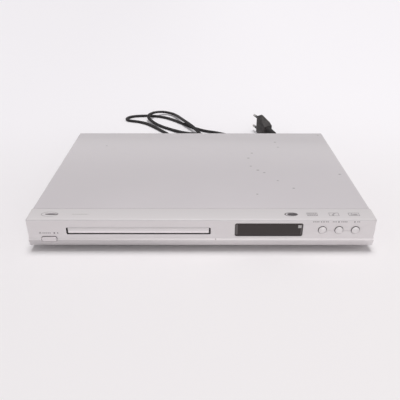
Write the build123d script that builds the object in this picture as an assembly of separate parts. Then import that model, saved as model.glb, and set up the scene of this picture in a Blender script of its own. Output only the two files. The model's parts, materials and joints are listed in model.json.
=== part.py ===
from build123d import *
import math
import os

# A disc player with a drawer tray, as separate pieces, in millimetres.
# X runs from left to right, Y from front to back, and Z up from the foot pads.
# The origin is the middle of the player's underside, without its mains lead.

# ---- Driving dimensions: case ----
WIDTH = 360.0            # over the ends of the bezel
HEIGHT = 38.5            # foot pads to cover
BODY_DEPTH = 250.0       # bezel face to the back of the cover
LEDGE_OUT = 1.2          # the chin's ledge stands this far out of the face
SOCKET_OUT = 7.2         # rear sockets stand this far out of the cover
SHEET = 0.8              # steel sheet of chassis, cover and rear panel
FOOT_HEIGHT = 6.5
COVER_INSET = 1.0        # cover side behind the bezel's end
COVER_LIP = 6.5          # fold at the back of the cover
FOLD_RADIUS = 1.6
FOOT_RADIUS = 12.0
FOOT_BOSS = 2.8          # peg of a foot in the chassis floor
PAD_RADIUS = 8.5
PAD_HEIGHT = 2.2
FOOT_SIDE = 30.0         # ends of the case to the feet
FOOT_FRONT = 40.0        # bezel face to the front feet
FOOT_BACK = 30.0         # back of the cover to the rear feet

# ---- Driving dimensions: fits ----
SEAT = 0.3               # gap between loosely fitted pieces
RUN = 0.08               # radial clearance of a shaft that turns or slides
SCREW_FIT = 0.1          # radial clearance round a screw

# ---- Driving dimensions: bezel ----
BEZEL_DEPTH = 21.5
BEZEL_WALL = 2.2
FOLD_DROP = 0.8          # the top strip falls this much to the face
LEDGE_RISE = 8.5         # chassis underside to the top of the ledge
CHIN_IN = 1.2            # foot of the chin behind the face
LIP_DEPTH = 11.0
LIP_DROP = 0.4           # the bezel hangs this far below the chassis

# ---- Driving dimensions: loader and tray ----
LOADER_ROOM = 44.3       # left end of the bezel to the loader frame
DISC_INSET = 70.0        # bezel face to the disc's centre
DISC_RADIUS = 60.0
MINI_DISC_RADIUS = 40.0
DISC_FIT = 0.75
TRAY_LIFT = 16.1         # chassis floor to the tray's underside
TRAY_HEIGHT = 4.0
TRAY_WIDTH = 130.0
TRAY_LENGTH = 172.0
TRAY_TRAVEL = 132.0
RAIL_OUT = 2.6
RAIL_HEIGHT = 1.5
DISC_RECESS = 2.3
MINI_RECESS = 0.7
TRAY_SLOT = 40.0         # width of the slot over the turntable
DOOR_OVERHANG = 8.1      # door beyond each side of the tray
DOOR_HEIGHT = 6.3
DOOR_THICK = 3.8
DOOR_PROUD = 0.6
DOOR_DROP = 2.0          # door's lower edge below the tray's underside
DOOR_SIDE_GAP = 1.6
DOOR_LOW_GAP = 1.4
DOOR_TOP_GAP = 0.4
FRAME_INSET = 10.0       # bezel face to the loader frame
FRAME_LENGTH = 170.0
FRAME_WALL = 2.5
DECK_THICK = 1.6
BRIDGE_RISE = 2.6        # tray top to the clamp bridge
BRIDGE_THICK = 1.2
BRIDGE_DEPTH = 36.0
EAR_OUT = 10.0
EAR_WIDTH = 10.0
EAR_THICK = 2.2
BEARING_OUT = 3.4        # width of a bearing of the tilt axis
CLAMP_RADIUS = 10.25

# ---- Driving dimensions: gears ----
RACK_MODULE = 1.0
RACK_INSET = 15.0        # side of the tray to the rack's pitch line
RACK_HEIGHT = 1.8
PINION_TEETH = 14
WHEEL_MODULE = 0.8
WHEEL_TEETH = 40
WHEEL_THICK = 2.0
IDLER_TEETH = 12
PRESSURE_ANGLE = math.radians(20)
ADDENDUM = 0.75
DEDENDUM = 1.0
BACKLASH = 0.3
GEAR_INSET = 26.0        # bezel face to the gear train
GEAR_PIN_RADIUS = 1.5
PULLEY_RADIUS = 8.6
MOTOR_PULLEY_RADIUS = 2.4
PULLEY_GROOVE = 1.2
PULLEY_RIM = 0.4
BELT_SIZE = 1.0
BELT_GAP = 0.15
MOTOR_OFFSET = -18.0     # tray motor from the tray's middle
MOTOR_RADIUS = 12.0
MOTOR_HEIGHT = 11.5

# ---- Driving dimensions: traverse ----
PIVOT_BACK = 94.0        # disc centre to the tilt axis
DISC_DROP = 5.2          # how far the turntable sinks
HOLDER_WIDTH = 86.0
HOLDER_RIM = 5.5
HOLDER_THICK = 2.2
HOLDER_FRONT = 20.0      # holder's front edge before the disc centre
HOLDER_BACK = 4.0        # holder's back edge behind the tilt axis
PIVOT_RADIUS = 1.5
DAMPER_THICK = 1.0
DAMPER_RADIUS = 2.6
DAMPER_SHANK = 1.1
PLATE_THICK = 1.2
TURNTABLE_RADIUS = 14.5
TURNTABLE_BOSS = 8.0
TURNTABLE_RISE = 1.5     # disc on the turntable above the tray's disc seat
HUB_RADIUS = 7.3
SPINDLE_RADIUS = 1.0
SPINDLE_MOTOR_RADIUS = 12.5
SPINDLE_MOTOR_HEIGHT = 5.3
ROD_SPACING = 48.0
ROD_RADIUS = 1.5
SLED_LENGTH = 34.6
SLED_TRAVEL = 34.0
LENS_RADIUS = 3.4
LENS_TRAVEL = 0.5
LEAD_SCREW_OFFSET = 32.5
LEAD_SCREW_RADIUS = 2.0
FEED_MOTOR_RADIUS = 4.0
FEED_MOTOR_LENGTH = 15.0
CAM_TRAVEL = 14.0
CAM_THICK = 3.0
CAM_PIN_OFFSET = 14.0
CAM_PIN_RADIUS = 1.4

# ---- Driving dimensions: controls and display ----
WINDOW_FROM_DOOR = 26.5
WINDOW_FROM_BUTTONS = 20.1
WINDOW_HEIGHT = 15.6
WINDOW_RISE = 19.0       # chassis underside to the window's middle
BUTTON_RADIUS = 4.0
BUTTON_GAP = 0.55
BUTTON_PITCH = 17.05
BUTTON_INSET = 20.8      # right end of the bezel to the last button
BUTTON_RISE = 18.9
BUTTON_TRAVEL = 0.8
POWER_WIDTH = 15.4
POWER_HEIGHT = 5.7
POWER_GAP = 0.5
POWER_INSET = 21.7
POWER_RISE = 7.9
POWER_TRAVEL = 3.0
BOARD_THICK = 1.6
FRONT_BOARD_INSET = 10.1
BOSS_RADIUS = 2.6        # bosses that carry the front board
BOSS_PILOT = 0.9
SWITCH_HALF = 6.5        # half the width of the mains switch
SWITCH_BOARD_WIDTH = 24.0
SWITCH_BOARD_DEPTH = 30.0

# ---- Driving dimensions: boards and sockets ----
BOARD_LIFT = 5.7         # chassis floor to the underside of a board
MAIN_GAP = 18.2          # loader frame to the main board, for the flat cable
MAIN_SCREW_BACK = 18.0   # rear screws stand in front of the sockets
SCREW_INSET = 4.5
MAIN_DEPTH = 146.0
POWER_BOARD_WIDTH = 120.0
SUPPLY_GAP = 10.5        # loader frame to the supply board
SUPPLY_DESIGN = 54.0     # depth that the supply's pieces are drawn for
CAN_ROW = 4.0            # row of the supply's cans behind the board's middle
MAIN_DESIGN = 146.0      # width that the main board's chips are spread for
SIDE_MARGIN = 8.0        # side of the case to a board's edge
BACK_MARGIN = 5.5        # back of the cover to a board's edge
STANDOFF_RADIUS = 3.2
VENT_INSET = 26.1        # main board's left edge to the vents under it
VENT_LENGTH = 30.0
VENT_WIDTH = 4.0
VENT_PITCH = 10.0
VENT_ROWS = 9
SCREW_RADIUS = 1.3
SCREW_HEAD_RADIUS = 2.5
SCREW_HEAD = 1.6
SCART_WIDTH = 47.0
SCART_HEIGHT = 12.4
SCART_SHARE = 0.18       # of the sockets' spare width, left of this socket
PHONO_PITCH = 14.0
PHONO_COUNT = 4
PHONO_RADIUS = 4.15
PHONO_BORE = 1.6
PHONO_SHARE = 0.05       # of the sockets' spare width, right of these sockets
PHONO_STEP = 0.25        # barrel's foot is this much slimmer in its block
PHONO_RISE = 16.7

# ---- Driving dimensions: mains lead and plug ----
CORD_WIDTH = 6.0
CORD_THICK = 3.7
GLAND_INSET = 30.0
GLAND_RISE = 10.7
GLAND_RADIUS = 6.0
GLAND_TAIL = 24.0
PLUG_X = 98.3            # middle of the plug's face
PLUG_Y = 226.0
PLUG_TURN = 20.0         # degrees, pins to the left of straight back
PLUG_HEIGHT = 35.3
PLUG_THICK = 13.7
PLUG_LENGTH = 34.0
PLUG_TAIL = 22.0
PIN_RADIUS = 2.0
PIN_LENGTH = 19.0
PIN_SPACING = 18.6

# ---- Places worked out from them ----
DEPTH = LEDGE_OUT + BODY_DEPTH + SOCKET_OUT
FACE_Y = LEDGE_OUT - DEPTH / 2
BACK_Y = FACE_Y + BODY_DEPTH
LEFT = -WIDTH / 2
RIGHT = WIDTH / 2
FLOOR_Z = FOOT_HEIGHT + SHEET
CEILING_Z = HEIGHT - SHEET
CASE_HALF = WIDTH / 2 - COVER_INSET - SHEET - SEAT
PANEL_Y = BACK_Y - SHEET - SEAT - SHEET
PANEL_BACK = PANEL_Y + SHEET
BEZEL_Z = FOOT_HEIGHT - LIP_DROP
FOLD_Z = HEIGHT - FOLD_DROP
LEDGE_Z = FOOT_HEIGHT + LEDGE_RISE
BEZEL_IN = FACE_Y + BEZEL_WALL
BEZEL_BACK = FACE_Y + BEZEL_DEPTH

FRAME_HALF = TRAY_WIDTH / 2 + RAIL_OUT + 2 * SEAT
FRAME_OUT = FRAME_HALF + FRAME_WALL
LOADER_X = LEFT + LOADER_ROOM + FRAME_OUT
DISC_Y = FACE_Y + DISC_INSET
TRAY_Z = FLOOR_Z + TRAY_LIFT
TRAY_TOP = TRAY_Z + TRAY_HEIGHT
TRAY_FRONT = FACE_Y - DOOR_PROUD + DOOR_THICK
TRAY_BACK = TRAY_FRONT + TRAY_LENGTH
DISC_SEAT = TRAY_TOP - DISC_RECESS
DOOR_Z = TRAY_Z - DOOR_DROP
DOOR_WIDTH = TRAY_WIDTH + 2 * DOOR_OVERHANG
FRAME_FRONT = FACE_Y + FRAME_INSET
FRAME_BACK = FRAME_FRONT + FRAME_LENGTH
FRAME_Z = FLOOR_Z + 2.0
BRIDGE_Z = TRAY_TOP + BRIDGE_RISE

RACK_Z = TRAY_Z - RACK_HEIGHT
GEAR_Y = FACE_Y + GEAR_INSET
PINION_PITCH = PINION_TEETH * RACK_MODULE / 2
RACK_X = LOADER_X + TRAY_WIDTH / 2 - RACK_INSET
GEAR_X = RACK_X - PINION_PITCH
IDLER_X = GEAR_X - (WHEEL_TEETH + IDLER_TEETH) * WHEEL_MODULE / 2
MOTOR_X = LOADER_X + MOTOR_OFFSET
WHEEL_Z = RACK_Z - 3.0
DECK_TOP = WHEEL_Z - 0.2
PULLEY_Z = WHEEL_Z + WHEEL_THICK + SEAT
PULLEY_HEIGHT = PULLEY_GROOVE + 2 * PULLEY_RIM

PIVOT_Y = DISC_Y + PIVOT_BACK
PLATE_Z = TRAY_Z - 3.9
HOLDER_Z = PLATE_Z - DAMPER_THICK - HOLDER_THICK
PIVOT_Z = HOLDER_Z + HOLDER_THICK / 2
HOLDER_Y0 = DISC_Y - HOLDER_FRONT
HOLDER_Y1 = PIVOT_Y + HOLDER_BACK
TILT = math.asin(DISC_DROP / PIVOT_BACK)
TURNTABLE_TOP = DISC_SEAT + TURNTABLE_RISE
ROD_Z = PLATE_Z - 1.8
ROD_HALF = ROD_SPACING / 2
SLED_Y = DISC_Y + SPINDLE_MOTOR_RADIUS + 2.9
SLED_BACK = SLED_Y + SLED_LENGTH
TAB_BACK = SLED_BACK + SLED_TRAVEL + 4.0
LENS_Y = SLED_Y + 8.6
LENS_TOP = TRAY_Z + 1.8
SCREW_X = LOADER_X + LEAD_SCREW_OFFSET
SCREW_Z = PLATE_Z - 2.2
FEED_Y = SLED_BACK + 20.0

BUTTON_Z = FOOT_HEIGHT + BUTTON_RISE
BUTTON_XS = [RIGHT - BUTTON_INSET - place * BUTTON_PITCH for place in (2, 1, 0)]
WINDOW_X0 = LOADER_X + DOOR_WIDTH / 2 + WINDOW_FROM_DOOR
WINDOW_X1 = BUTTON_XS[0] - WINDOW_FROM_BUTTONS
WINDOW_WIDTH = WINDOW_X1 - WINDOW_X0
WINDOW_X = (WINDOW_X0 + WINDOW_X1) / 2
WINDOW_Z = FOOT_HEIGHT + WINDOW_RISE
POWER_X = LEFT + POWER_INSET
POWER_Z = FOOT_HEIGHT + POWER_RISE
BOARD_Y = FACE_Y + FRONT_BOARD_INSET
BOARD_LOW = FLOOR_Z + 3.2
BOARD_HIGH = HEIGHT - BEZEL_WALL - SEAT - 0.5
FRONT_BOARD_X0 = WINDOW_X - WINDOW_WIDTH / 2 - 6.0
FRONT_BOARD_X1 = RIGHT - 8.0

BOARD_Z = FLOOR_Z + BOARD_LIFT
BOARD_TOP = BOARD_Z + BOARD_THICK
MAIN_X1 = CASE_HALF - SIDE_MARGIN
MAIN_X0 = LOADER_X + FRAME_OUT + MAIN_GAP
MAIN_Y1 = BACK_Y - BACK_MARGIN
MAIN_Y0 = MAIN_Y1 - MAIN_DEPTH
SUPPLY_X0 = SIDE_MARGIN - CASE_HALF
SUPPLY_X1 = SUPPLY_X0 + POWER_BOARD_WIDTH
SUPPLY_Y1 = BACK_Y - BACK_MARGIN
SUPPLY_Y0 = FRAME_BACK + SUPPLY_GAP
SUPPLY_SCALE = (SUPPLY_Y1 - SUPPLY_Y0) / SUPPLY_DESIGN
SOCKET_SPARE = MAIN_X1 - MAIN_X0 - SCART_WIDTH - PHONO_COUNT * PHONO_PITCH
SCART_X = MAIN_X0 + SCART_SHARE * SOCKET_SPARE + SCART_WIDTH / 2
PHONO_X = MAIN_X1 - PHONO_SHARE * SOCKET_SPARE - PHONO_COUNT * PHONO_PITCH / 2
PHONO_Z = FLOOR_Z + PHONO_RISE
GLAND_X = LEFT + GLAND_INSET
GLAND_Z = FLOOR_Z + GLAND_RISE
GLAND_END = PANEL_BACK + 2.5 + GLAND_TAIL
PLUG_Z = PLUG_HEIGHT / 2
FEET = [(side * (WIDTH / 2 - FOOT_SIDE), y) for side in (-1, 1)
        for y in (FACE_Y + FOOT_FRONT, BACK_Y - FOOT_BACK)]
LOADER_EARS = [(LOADER_X + side * (FRAME_OUT + EAR_OUT / 2), y)
               for side in (-1, 1) for y in (FRAME_FRONT + 12.0, FRAME_BACK - 12.0)]
EAR_Z = BOARD_Z
SWITCH_BOARD_X0 = POWER_X - SWITCH_BOARD_WIDTH / 2
SWITCH_BOARD_X1 = POWER_X + SWITCH_BOARD_WIDTH / 2
SWITCH_BOARD_Y0 = BEZEL_IN + 13.8
SWITCH_BOARD_Y1 = SWITCH_BOARD_Y0 + SWITCH_BOARD_DEPTH
SWITCH_BOARD_Z = FLOOR_Z + 2.7
SWITCH_SCREWS = [(POWER_X, SWITCH_BOARD_Y1 - 4.0)]
MAIN_SCREWS = [(x, y) for x in (MAIN_X0 + SCREW_INSET, MAIN_X1 - SCREW_INSET)
               for y in (MAIN_Y0 + SCREW_INSET, MAIN_Y1 - MAIN_SCREW_BACK)]
SUPPLY_SCREWS = [(x, y) for x in (SUPPLY_X0 + SCREW_INSET, SUPPLY_X1 - SCREW_INSET)
                 for y in (SUPPLY_Y0 + SCREW_INSET, SUPPLY_Y1 - SCREW_INSET)]
SIDE_SCREW_YS = [FACE_Y + 60.0, BACK_Y - 60.0]
SIDE_SCREW_Z = FLOOR_Z + 13.0
BACK_SCREW_XS = [LEFT + 60.0, 0.0, RIGHT - 22.0]
BACK_SCREW_Z = HEIGHT - 3.4
FLANGE_TOP = FLOOR_Z + 22.7
CHASSIS_FRONT = FACE_Y + LIP_DEPTH + SEAT
SWITCH_BODY_Y = SWITCH_BOARD_Y0 + 2.0
SWITCH_TIP = BOARD_Y - 5.1
FLANGE_Y = BEZEL_IN + SEAT
BOSS_PLACES = [(FRONT_BOARD_X0 + 5.0, BOARD_LOW + 2.4), (FRONT_BOARD_X1 - 5.0, BOARD_LOW + 2.4),
               (WINDOW_X + WINDOW_WIDTH / 2 + 6.7, BOARD_HIGH - 2.6)]
CAM_Y = HOLDER_Y0 - 2.5 - CAM_THICK
CAM_DROP = (PIVOT_Y - HOLDER_Y0 + 2.5 + CAM_THICK / 2) * math.sin(TILT)
DAMPERS = [(LOADER_X + side * (HOLDER_WIDTH - HOLDER_RIM) / 2, y)
           for side in (-1, 1) for y in (HOLDER_Y0 + 8.0, PIVOT_Y - 8.0)]
PLATE_TOP = PLATE_Z + PLATE_THICK
SLED_HALF = ROD_HALF + 4.0
TAB_LOW = ROD_Z - ROD_RADIUS - 1.0
SCREW_FRONT = SLED_Y + 6.6
PHONO_XS = [PHONO_X + (place - (PHONO_COUNT - 1) / 2) * PHONO_PITCH for place in range(PHONO_COUNT)]
PHONO_FACE = PANEL_BACK + 1.6
SCART_Z = BOARD_TOP + SCART_HEIGHT / 2

os.makedirs("parts", exist_ok=True)


# ---- Helpers ----
def box(x0, x1, y0, y1, z0, z1):
    """A block between two corners."""
    middle = Pos((x0 + x1) / 2, (y0 + y1) / 2, (z0 + z1) / 2)
    return middle * Box(abs(x1 - x0), abs(y1 - y0), abs(z1 - z0))


def rod_x(y, z, x0, x1, radius):
    return Pos((x0 + x1) / 2, y, z) * Rot(0, 90, 0) * Cylinder(radius, abs(x1 - x0))


def rod_y(x, z, y0, y1, radius):
    return Pos(x, (y0 + y1) / 2, z) * Rot(90, 0, 0) * Cylinder(radius, abs(y1 - y0))


def rod_z(x, y, z0, z1, radius):
    return Pos(x, y, (z0 + z1) / 2) * Cylinder(radius, abs(z1 - z0))


def front_block(x, z, width, height, y0, y1, radius):
    """A block with rounded corners as seen from the front."""
    plane = Plane(origin=(x, y0, z), x_dir=(1, 0, 0), z_dir=(0, 1, 0))
    return extrude(plane * RectangleRounded(width, height, radius), y1 - y0)


def flat_block(x0, x1, y0, y1, z0, z1, radius):
    """A block with rounded corners as seen from above."""
    outline = RectangleRounded(x1 - x0, y1 - y0, radius)
    return extrude(Pos((x0 + x1) / 2, (y0 + y1) / 2, z0) * outline, z1 - z0)


def side_profile(points, x0, x1):
    """A closed outline in Y and Z, drawn out along X."""
    plane = Plane(origin=(x0, 0, 0), x_dir=(0, 1, 0), z_dir=(1, 0, 0))
    return extrude(plane * make_face(Polyline(*points, close=True)), x1 - x0)


def joined(pieces):
    """One solid from pieces that overlap or share faces."""
    whole = pieces[0]
    for piece in pieces[1:]:
        whole = whole + piece
    return whole


def group(pieces):
    """Separate solids in one node."""
    return Compound(children=list(pieces))


def cut_all(body, cutters):
    for cutter in cutters:
        body = body - cutter
    return body


def screw(x, y, seat_z, length, radius=SCREW_RADIUS, head=SCREW_HEAD_RADIUS):
    """An upright screw whose head rests at seat_z."""
    cap = rod_z(x, y, seat_z, seat_z + SCREW_HEAD, head)
    cross = box(x - 1.2, x + 1.2, y - 0.3, y + 0.3, seat_z + 0.8, seat_z + 2.0)
    cross = cross + box(x - 0.3, x + 0.3, y - 1.2, y + 1.2, seat_z + 0.8, seat_z + 2.0)
    return cap + rod_z(x, y, seat_z - length, seat_z, radius) - cross


def board(x0, x1, y0, y1, screws):
    plate = box(x0, x1, y0, y1, BOARD_Z, BOARD_TOP)
    holes = [rod_z(x, y, BOARD_Z - 1, BOARD_TOP + 1, SCREW_RADIUS + SCREW_FIT) for x, y in screws]
    return cut_all(plate, holes)


def involute(angle):
    return math.tan(angle) - angle


def gear_face(teeth, module, phase=0.0):
    """A spur gear's outline; a tooth points along +X when phase is 0."""
    pitch = teeth * module / 2
    base = pitch * math.cos(PRESSURE_ANGLE)
    root = pitch - DEDENDUM * module
    tip = pitch + ADDENDUM * module
    half_tooth = (math.pi * module / 2 - BACKLASH / 2) / (2 * pitch)
    radii = [root, max(base, (root + pitch) / 2), pitch, tip]
    points = []
    for tooth in range(teeth):
        centre = phase + 2 * math.pi * tooth / teeth
        flank = []
        for radius in radii:
            slope = math.acos(min(1.0, base / radius))
            spread = half_tooth + involute(PRESSURE_ANGLE) - involute(slope)
            flank.append((radius, spread))
        points += [(r * math.cos(centre - a), r * math.sin(centre - a)) for r, a in flank]
        points += [(r * math.cos(centre + a), r * math.sin(centre + a)) for r, a in reversed(flank)]
    return make_face(Polyline(*points, close=True))


# ---- Case ----


def bottom_chassis():
    nose_half = WIDTH / 2 - BEZEL_WALL - SEAT
    nose = box(-nose_half, nose_half, CHASSIS_FRONT, BEZEL_BACK + SEAT, FOOT_HEIGHT, FLOOR_Z)
    base = box(-CASE_HALF, CASE_HALF, BEZEL_BACK + SEAT, PANEL_BACK, FOOT_HEIGHT, FLOOR_Z)
    pieces = [base + nose]
    for side in (-1, 1):
        flange = box(side * CASE_HALF, side * (CASE_HALF - SHEET), BEZEL_BACK + SEAT, PANEL_BACK,
                     FOOT_HEIGHT, FLANGE_TOP)
        pieces.append(flange)
    for x, y in LOADER_EARS:
        pieces.append(rod_z(x, y, FLOOR_Z, EAR_Z, STANDOFF_RADIUS))
    for x, y in MAIN_SCREWS + SUPPLY_SCREWS:
        pieces.append(rod_z(x, y, FLOOR_Z, BOARD_Z, STANDOFF_RADIUS))
    for x, y in SWITCH_SCREWS:
        pieces.append(rod_z(x, y, FLOOR_Z, SWITCH_BOARD_Z, STANDOFF_RADIUS))
    cutters = [rod_z(x, y, FOOT_HEIGHT - 1, BOARD_Z + 1, SCREW_RADIUS + SCREW_FIT)
               for x, y in LOADER_EARS + MAIN_SCREWS + SUPPLY_SCREWS + SWITCH_SCREWS]
    cutters += [rod_z(x, y, FOOT_HEIGHT - 1, FLOOR_Z + 1, FOOT_BOSS + SCREW_FIT) for x, y in FEET]
    for side in (-1, 1):
        for y in SIDE_SCREW_YS:
            cutters.append(rod_x(y, SIDE_SCREW_Z, side * (CASE_HALF - 3), side * (CASE_HALF + 1),
                                 SCREW_RADIUS + SCREW_FIT))
    vent_x = MAIN_X0 + VENT_INSET
    for row in range(VENT_ROWS):
        y = BACK_Y - 62.0 - VENT_PITCH * row
        cutters.append(flat_block(vent_x, vent_x + VENT_LENGTH, y, y + VENT_WIDTH, FOOT_HEIGHT - 1,
                                  FLOOR_Z + 1, 0.48 * VENT_WIDTH))
    return cut_all(joined(pieces), cutters)


def rear_panel():
    panel = box(SHEET + 0.1 - CASE_HALF, CASE_HALF - SHEET - 0.1, PANEL_Y, PANEL_BACK,
                FLOOR_Z, CEILING_Z - SEAT)
    cutters = [front_block(SCART_X, SCART_Z, SCART_WIDTH + 2 * SEAT, SCART_HEIGHT + 2 * SEAT,
                           PANEL_Y - 1, PANEL_BACK + 1, 1.0)]
    for x in PHONO_XS:
        cutters.append(rod_y(x, PHONO_Z, PANEL_Y - 1, PANEL_BACK + 1, PHONO_RADIUS + 1.2))
    cutters.append(rod_y(GLAND_X, GLAND_Z, PANEL_Y - 1, PANEL_BACK + 1, GLAND_RADIUS + SCREW_FIT))
    for x in BACK_SCREW_XS:
        cutters.append(rod_y(x, BACK_SCREW_Z, PANEL_Y - 1, PANEL_BACK + 1, SCREW_RADIUS + SCREW_FIT))
    for column in range(12):
        x = LEFT + 66.0 + 6.0 * column
        cutters.append(front_block(x, FLOOR_Z + 14.0, 2.4, 14.0, PANEL_Y - 1, PANEL_BACK + 1, 1.1))
    return cut_all(panel, cutters)


def top_cover():
    half = WIDTH / 2 - COVER_INSET
    front = BEZEL_BACK + SEAT
    skirt = FOOT_HEIGHT + 0.5
    outer = box(-half, half, front, BACK_Y, skirt, HEIGHT)
    long_edges = outer.edges().filter_by(Axis.Y).group_by(Axis.Z)[-1]
    outer = fillet(long_edges, FOLD_RADIUS)
    inner = box(SHEET - half, half - SHEET, front - 1, BACK_Y - SHEET, skirt - 1, CEILING_Z)
    inner_edges = inner.edges().filter_by(Axis.Y).group_by(Axis.Z)[-1]
    inner = fillet(inner_edges, FOLD_RADIUS - SHEET)
    back_opening = box(SHEET - half, half - SHEET, BACK_Y - 2, BACK_Y + 1, skirt - 1, HEIGHT - COVER_LIP)
    cutters = [inner, back_opening]
    for side in (-1, 1):
        for y in SIDE_SCREW_YS:
            cutters.append(rod_x(y, SIDE_SCREW_Z, side * (half - 3), side * (half + 1),
                                 SCREW_RADIUS + 2 * SCREW_FIT))
    for x in BACK_SCREW_XS:
        cutters.append(rod_y(x, BACK_SCREW_Z, BACK_Y - 2, BACK_Y + 1, SCREW_RADIUS + 2 * SCREW_FIT))
    return cut_all(outer, cutters)


def cover_screws():
    screws = []
    half = WIDTH / 2 - COVER_INSET
    for side in (-1, 1):
        for y in SIDE_SCREW_YS:
            head = rod_x(y, SIDE_SCREW_Z, side * half, side * (half + 0.9), SCREW_HEAD_RADIUS)
            shank = rod_x(y, SIDE_SCREW_Z, side * (half - 6), side * half, SCREW_RADIUS)
            screws.append(head + shank)
    for x in BACK_SCREW_XS:
        head = rod_y(x, BACK_SCREW_Z, BACK_Y, BACK_Y + SCREW_HEAD, SCREW_HEAD_RADIUS)
        shank = rod_y(x, BACK_SCREW_Z, BACK_Y - 6, BACK_Y, SCREW_RADIUS)
        screws.append(head + shank)
    return group(screws)


def front_bezel():
    outer_points = [(BEZEL_BACK, HEIGHT), (FACE_Y, FOLD_Z), (FACE_Y, LEDGE_Z),
                    (FACE_Y - LEDGE_OUT, LEDGE_Z - LEDGE_OUT), (FACE_Y + CHIN_IN, BEZEL_Z),
                    (BEZEL_BACK, BEZEL_Z)]
    outer = side_profile(outer_points, LEFT, RIGHT)
    fold = outer.edges().filter_by(Axis.X).sort_by_distance((0, FACE_Y, FOLD_Z))[0]
    outer = fillet(fold, FOLD_RADIUS)
    ends = outer.edges().filter_by(Axis.Z).group_by(Axis.Y)[0]
    outer = fillet(ends, FOLD_RADIUS)
    wall = BEZEL_WALL
    inner_points = [(BEZEL_BACK + 1, HEIGHT - wall), (BEZEL_IN, FOLD_Z - wall), (BEZEL_IN, LEDGE_Z),
                    (BEZEL_IN - LEDGE_OUT, LEDGE_Z - LEDGE_OUT), (BEZEL_IN + CHIN_IN, BEZEL_Z + wall),
                    (FACE_Y + LIP_DEPTH, BEZEL_Z + wall), (FACE_Y + LIP_DEPTH, BEZEL_Z - 1),
                    (BEZEL_BACK + 1, BEZEL_Z - 1)]
    cavity = side_profile(inner_points, LEFT + wall, RIGHT - wall)
    shell = outer - cavity
    shelf_top = CEILING_Z - SEAT
    shelf = box(LEFT + wall + 1.5, RIGHT - wall - 1.5, BEZEL_BACK - 3, BEZEL_BACK + 6,
                shelf_top - 1.5, shelf_top)
    pieces = [shell, shelf]
    for x in (LOADER_X - 53.0, LOADER_X + 86.0, RIGHT - 40.0):
        pieces.append(box(x - 6, x + 6, FACE_Y + LIP_DEPTH - 4, FACE_Y + LIP_DEPTH + 9, FLOOR_Z,
                          FLOOR_Z + 1.8))
    for x, z in BOSS_PLACES:
        pieces.append(rod_y(x, z, BEZEL_IN - 1.0, BOARD_Y, BOSS_RADIUS))
    body = joined(pieces)
    slot_z0 = DOOR_Z - DOOR_LOW_GAP
    slot_z1 = DOOR_Z + DOOR_HEIGHT + DOOR_TOP_GAP
    cutters = [front_block(LOADER_X, (slot_z0 + slot_z1) / 2, DOOR_WIDTH + 2 * DOOR_SIDE_GAP,
                           slot_z1 - slot_z0, FACE_Y - 2, BEZEL_IN + 0.5, 1.5)]
    cutters.append(front_block(WINDOW_X, WINDOW_Z, WINDOW_WIDTH, WINDOW_HEIGHT, FACE_Y - 2,
                               BEZEL_IN + 0.5, 2.2))
    for x in BUTTON_XS:
        cutters.append(rod_y(x, BUTTON_Z, FACE_Y - 2, BEZEL_IN + 0.5, BUTTON_RADIUS + BUTTON_GAP))
    cutters.append(box(BUTTON_XS[0], BUTTON_XS[2], FACE_Y - 1, FACE_Y + 0.4, BUTTON_Z - 1.2, BUTTON_Z - 0.5))
    cutters.append(front_block(POWER_X, POWER_Z, POWER_WIDTH + 2 * POWER_GAP,
                               POWER_HEIGHT + 2 * POWER_GAP, FACE_Y - 4, BEZEL_IN + 2, 2.5))
    for x, z in BOSS_PLACES:
        cutters.append(rod_y(x, z, BOARD_Y - 5.0, BOARD_Y + 1, BOSS_PILOT))
    return cut_all(body, cutters)


def display_window():
    pane = front_block(WINDOW_X, WINDOW_Z, WINDOW_WIDTH - 2 * SEAT, WINDOW_HEIGHT - 2 * SEAT,
                       FACE_Y + 0.3, BEZEL_IN, 2.0)
    rim = front_block(WINDOW_X, WINDOW_Z, WINDOW_WIDTH + 3.6, WINDOW_HEIGHT + 3.0, BEZEL_IN,
                      BEZEL_IN + 1.0, 1.4)
    return pane + rim


def feet():
    solids = []
    for x, y in FEET:
        body = Pos(x, y, (FOOT_HEIGHT + 1.2) / 2) * Cone(FOOT_RADIUS - 1, FOOT_RADIUS, FOOT_HEIGHT - 1.2)
        boss = rod_z(x, y, FOOT_HEIGHT, FLOOR_Z + 1.4, FOOT_BOSS)
        recess = rod_z(x, y, 0.0, PAD_HEIGHT, PAD_RADIUS + 0.1)
        solids.append(body + boss - recess)
    return group(solids)


def foot_pads():
    return group([rod_z(x, y, 0.0, PAD_HEIGHT, PAD_RADIUS) for x, y in FEET])


# ---- Front electronics and controls ----
def front_board():
    plate = box(FRONT_BOARD_X0, FRONT_BOARD_X1, BOARD_Y, BOARD_Y + BOARD_THICK, BOARD_LOW, BOARD_HIGH)
    holes = [rod_y(x, z, BOARD_Y - 1, BOARD_Y + 3, SCREW_RADIUS + SCREW_FIT) for x, z in BOSS_PLACES]
    return cut_all(plate, holes)


def display_module():
    x0 = WINDOW_X - WINDOW_WIDTH / 2 + 2.0
    x1 = WINDOW_X + WINDOW_WIDTH / 2 - 9.0
    glass = box(x0, x1, BEZEL_IN + 2.0, BOARD_Y - 2.0, WINDOW_Z - 7.0, WINDOW_Z + 7.0)
    carrier = box(x0 + 1, x1 - 1, BOARD_Y - 2.0, BOARD_Y, WINDOW_Z - 6.0, WINDOW_Z + 6.0)
    return glass + carrier


def remote_sensor():
    x = WINDOW_X + WINDOW_WIDTH / 2 - 4.4
    z = WINDOW_Z + 3.8
    can = box(x - 2.8, x + 2.8, BOARD_Y - 4.0, BOARD_Y, z - 3.2, z + 3.2)
    return can + rod_y(x, z, BOARD_Y - 5.4, BOARD_Y - 4.0, 2.2)


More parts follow.
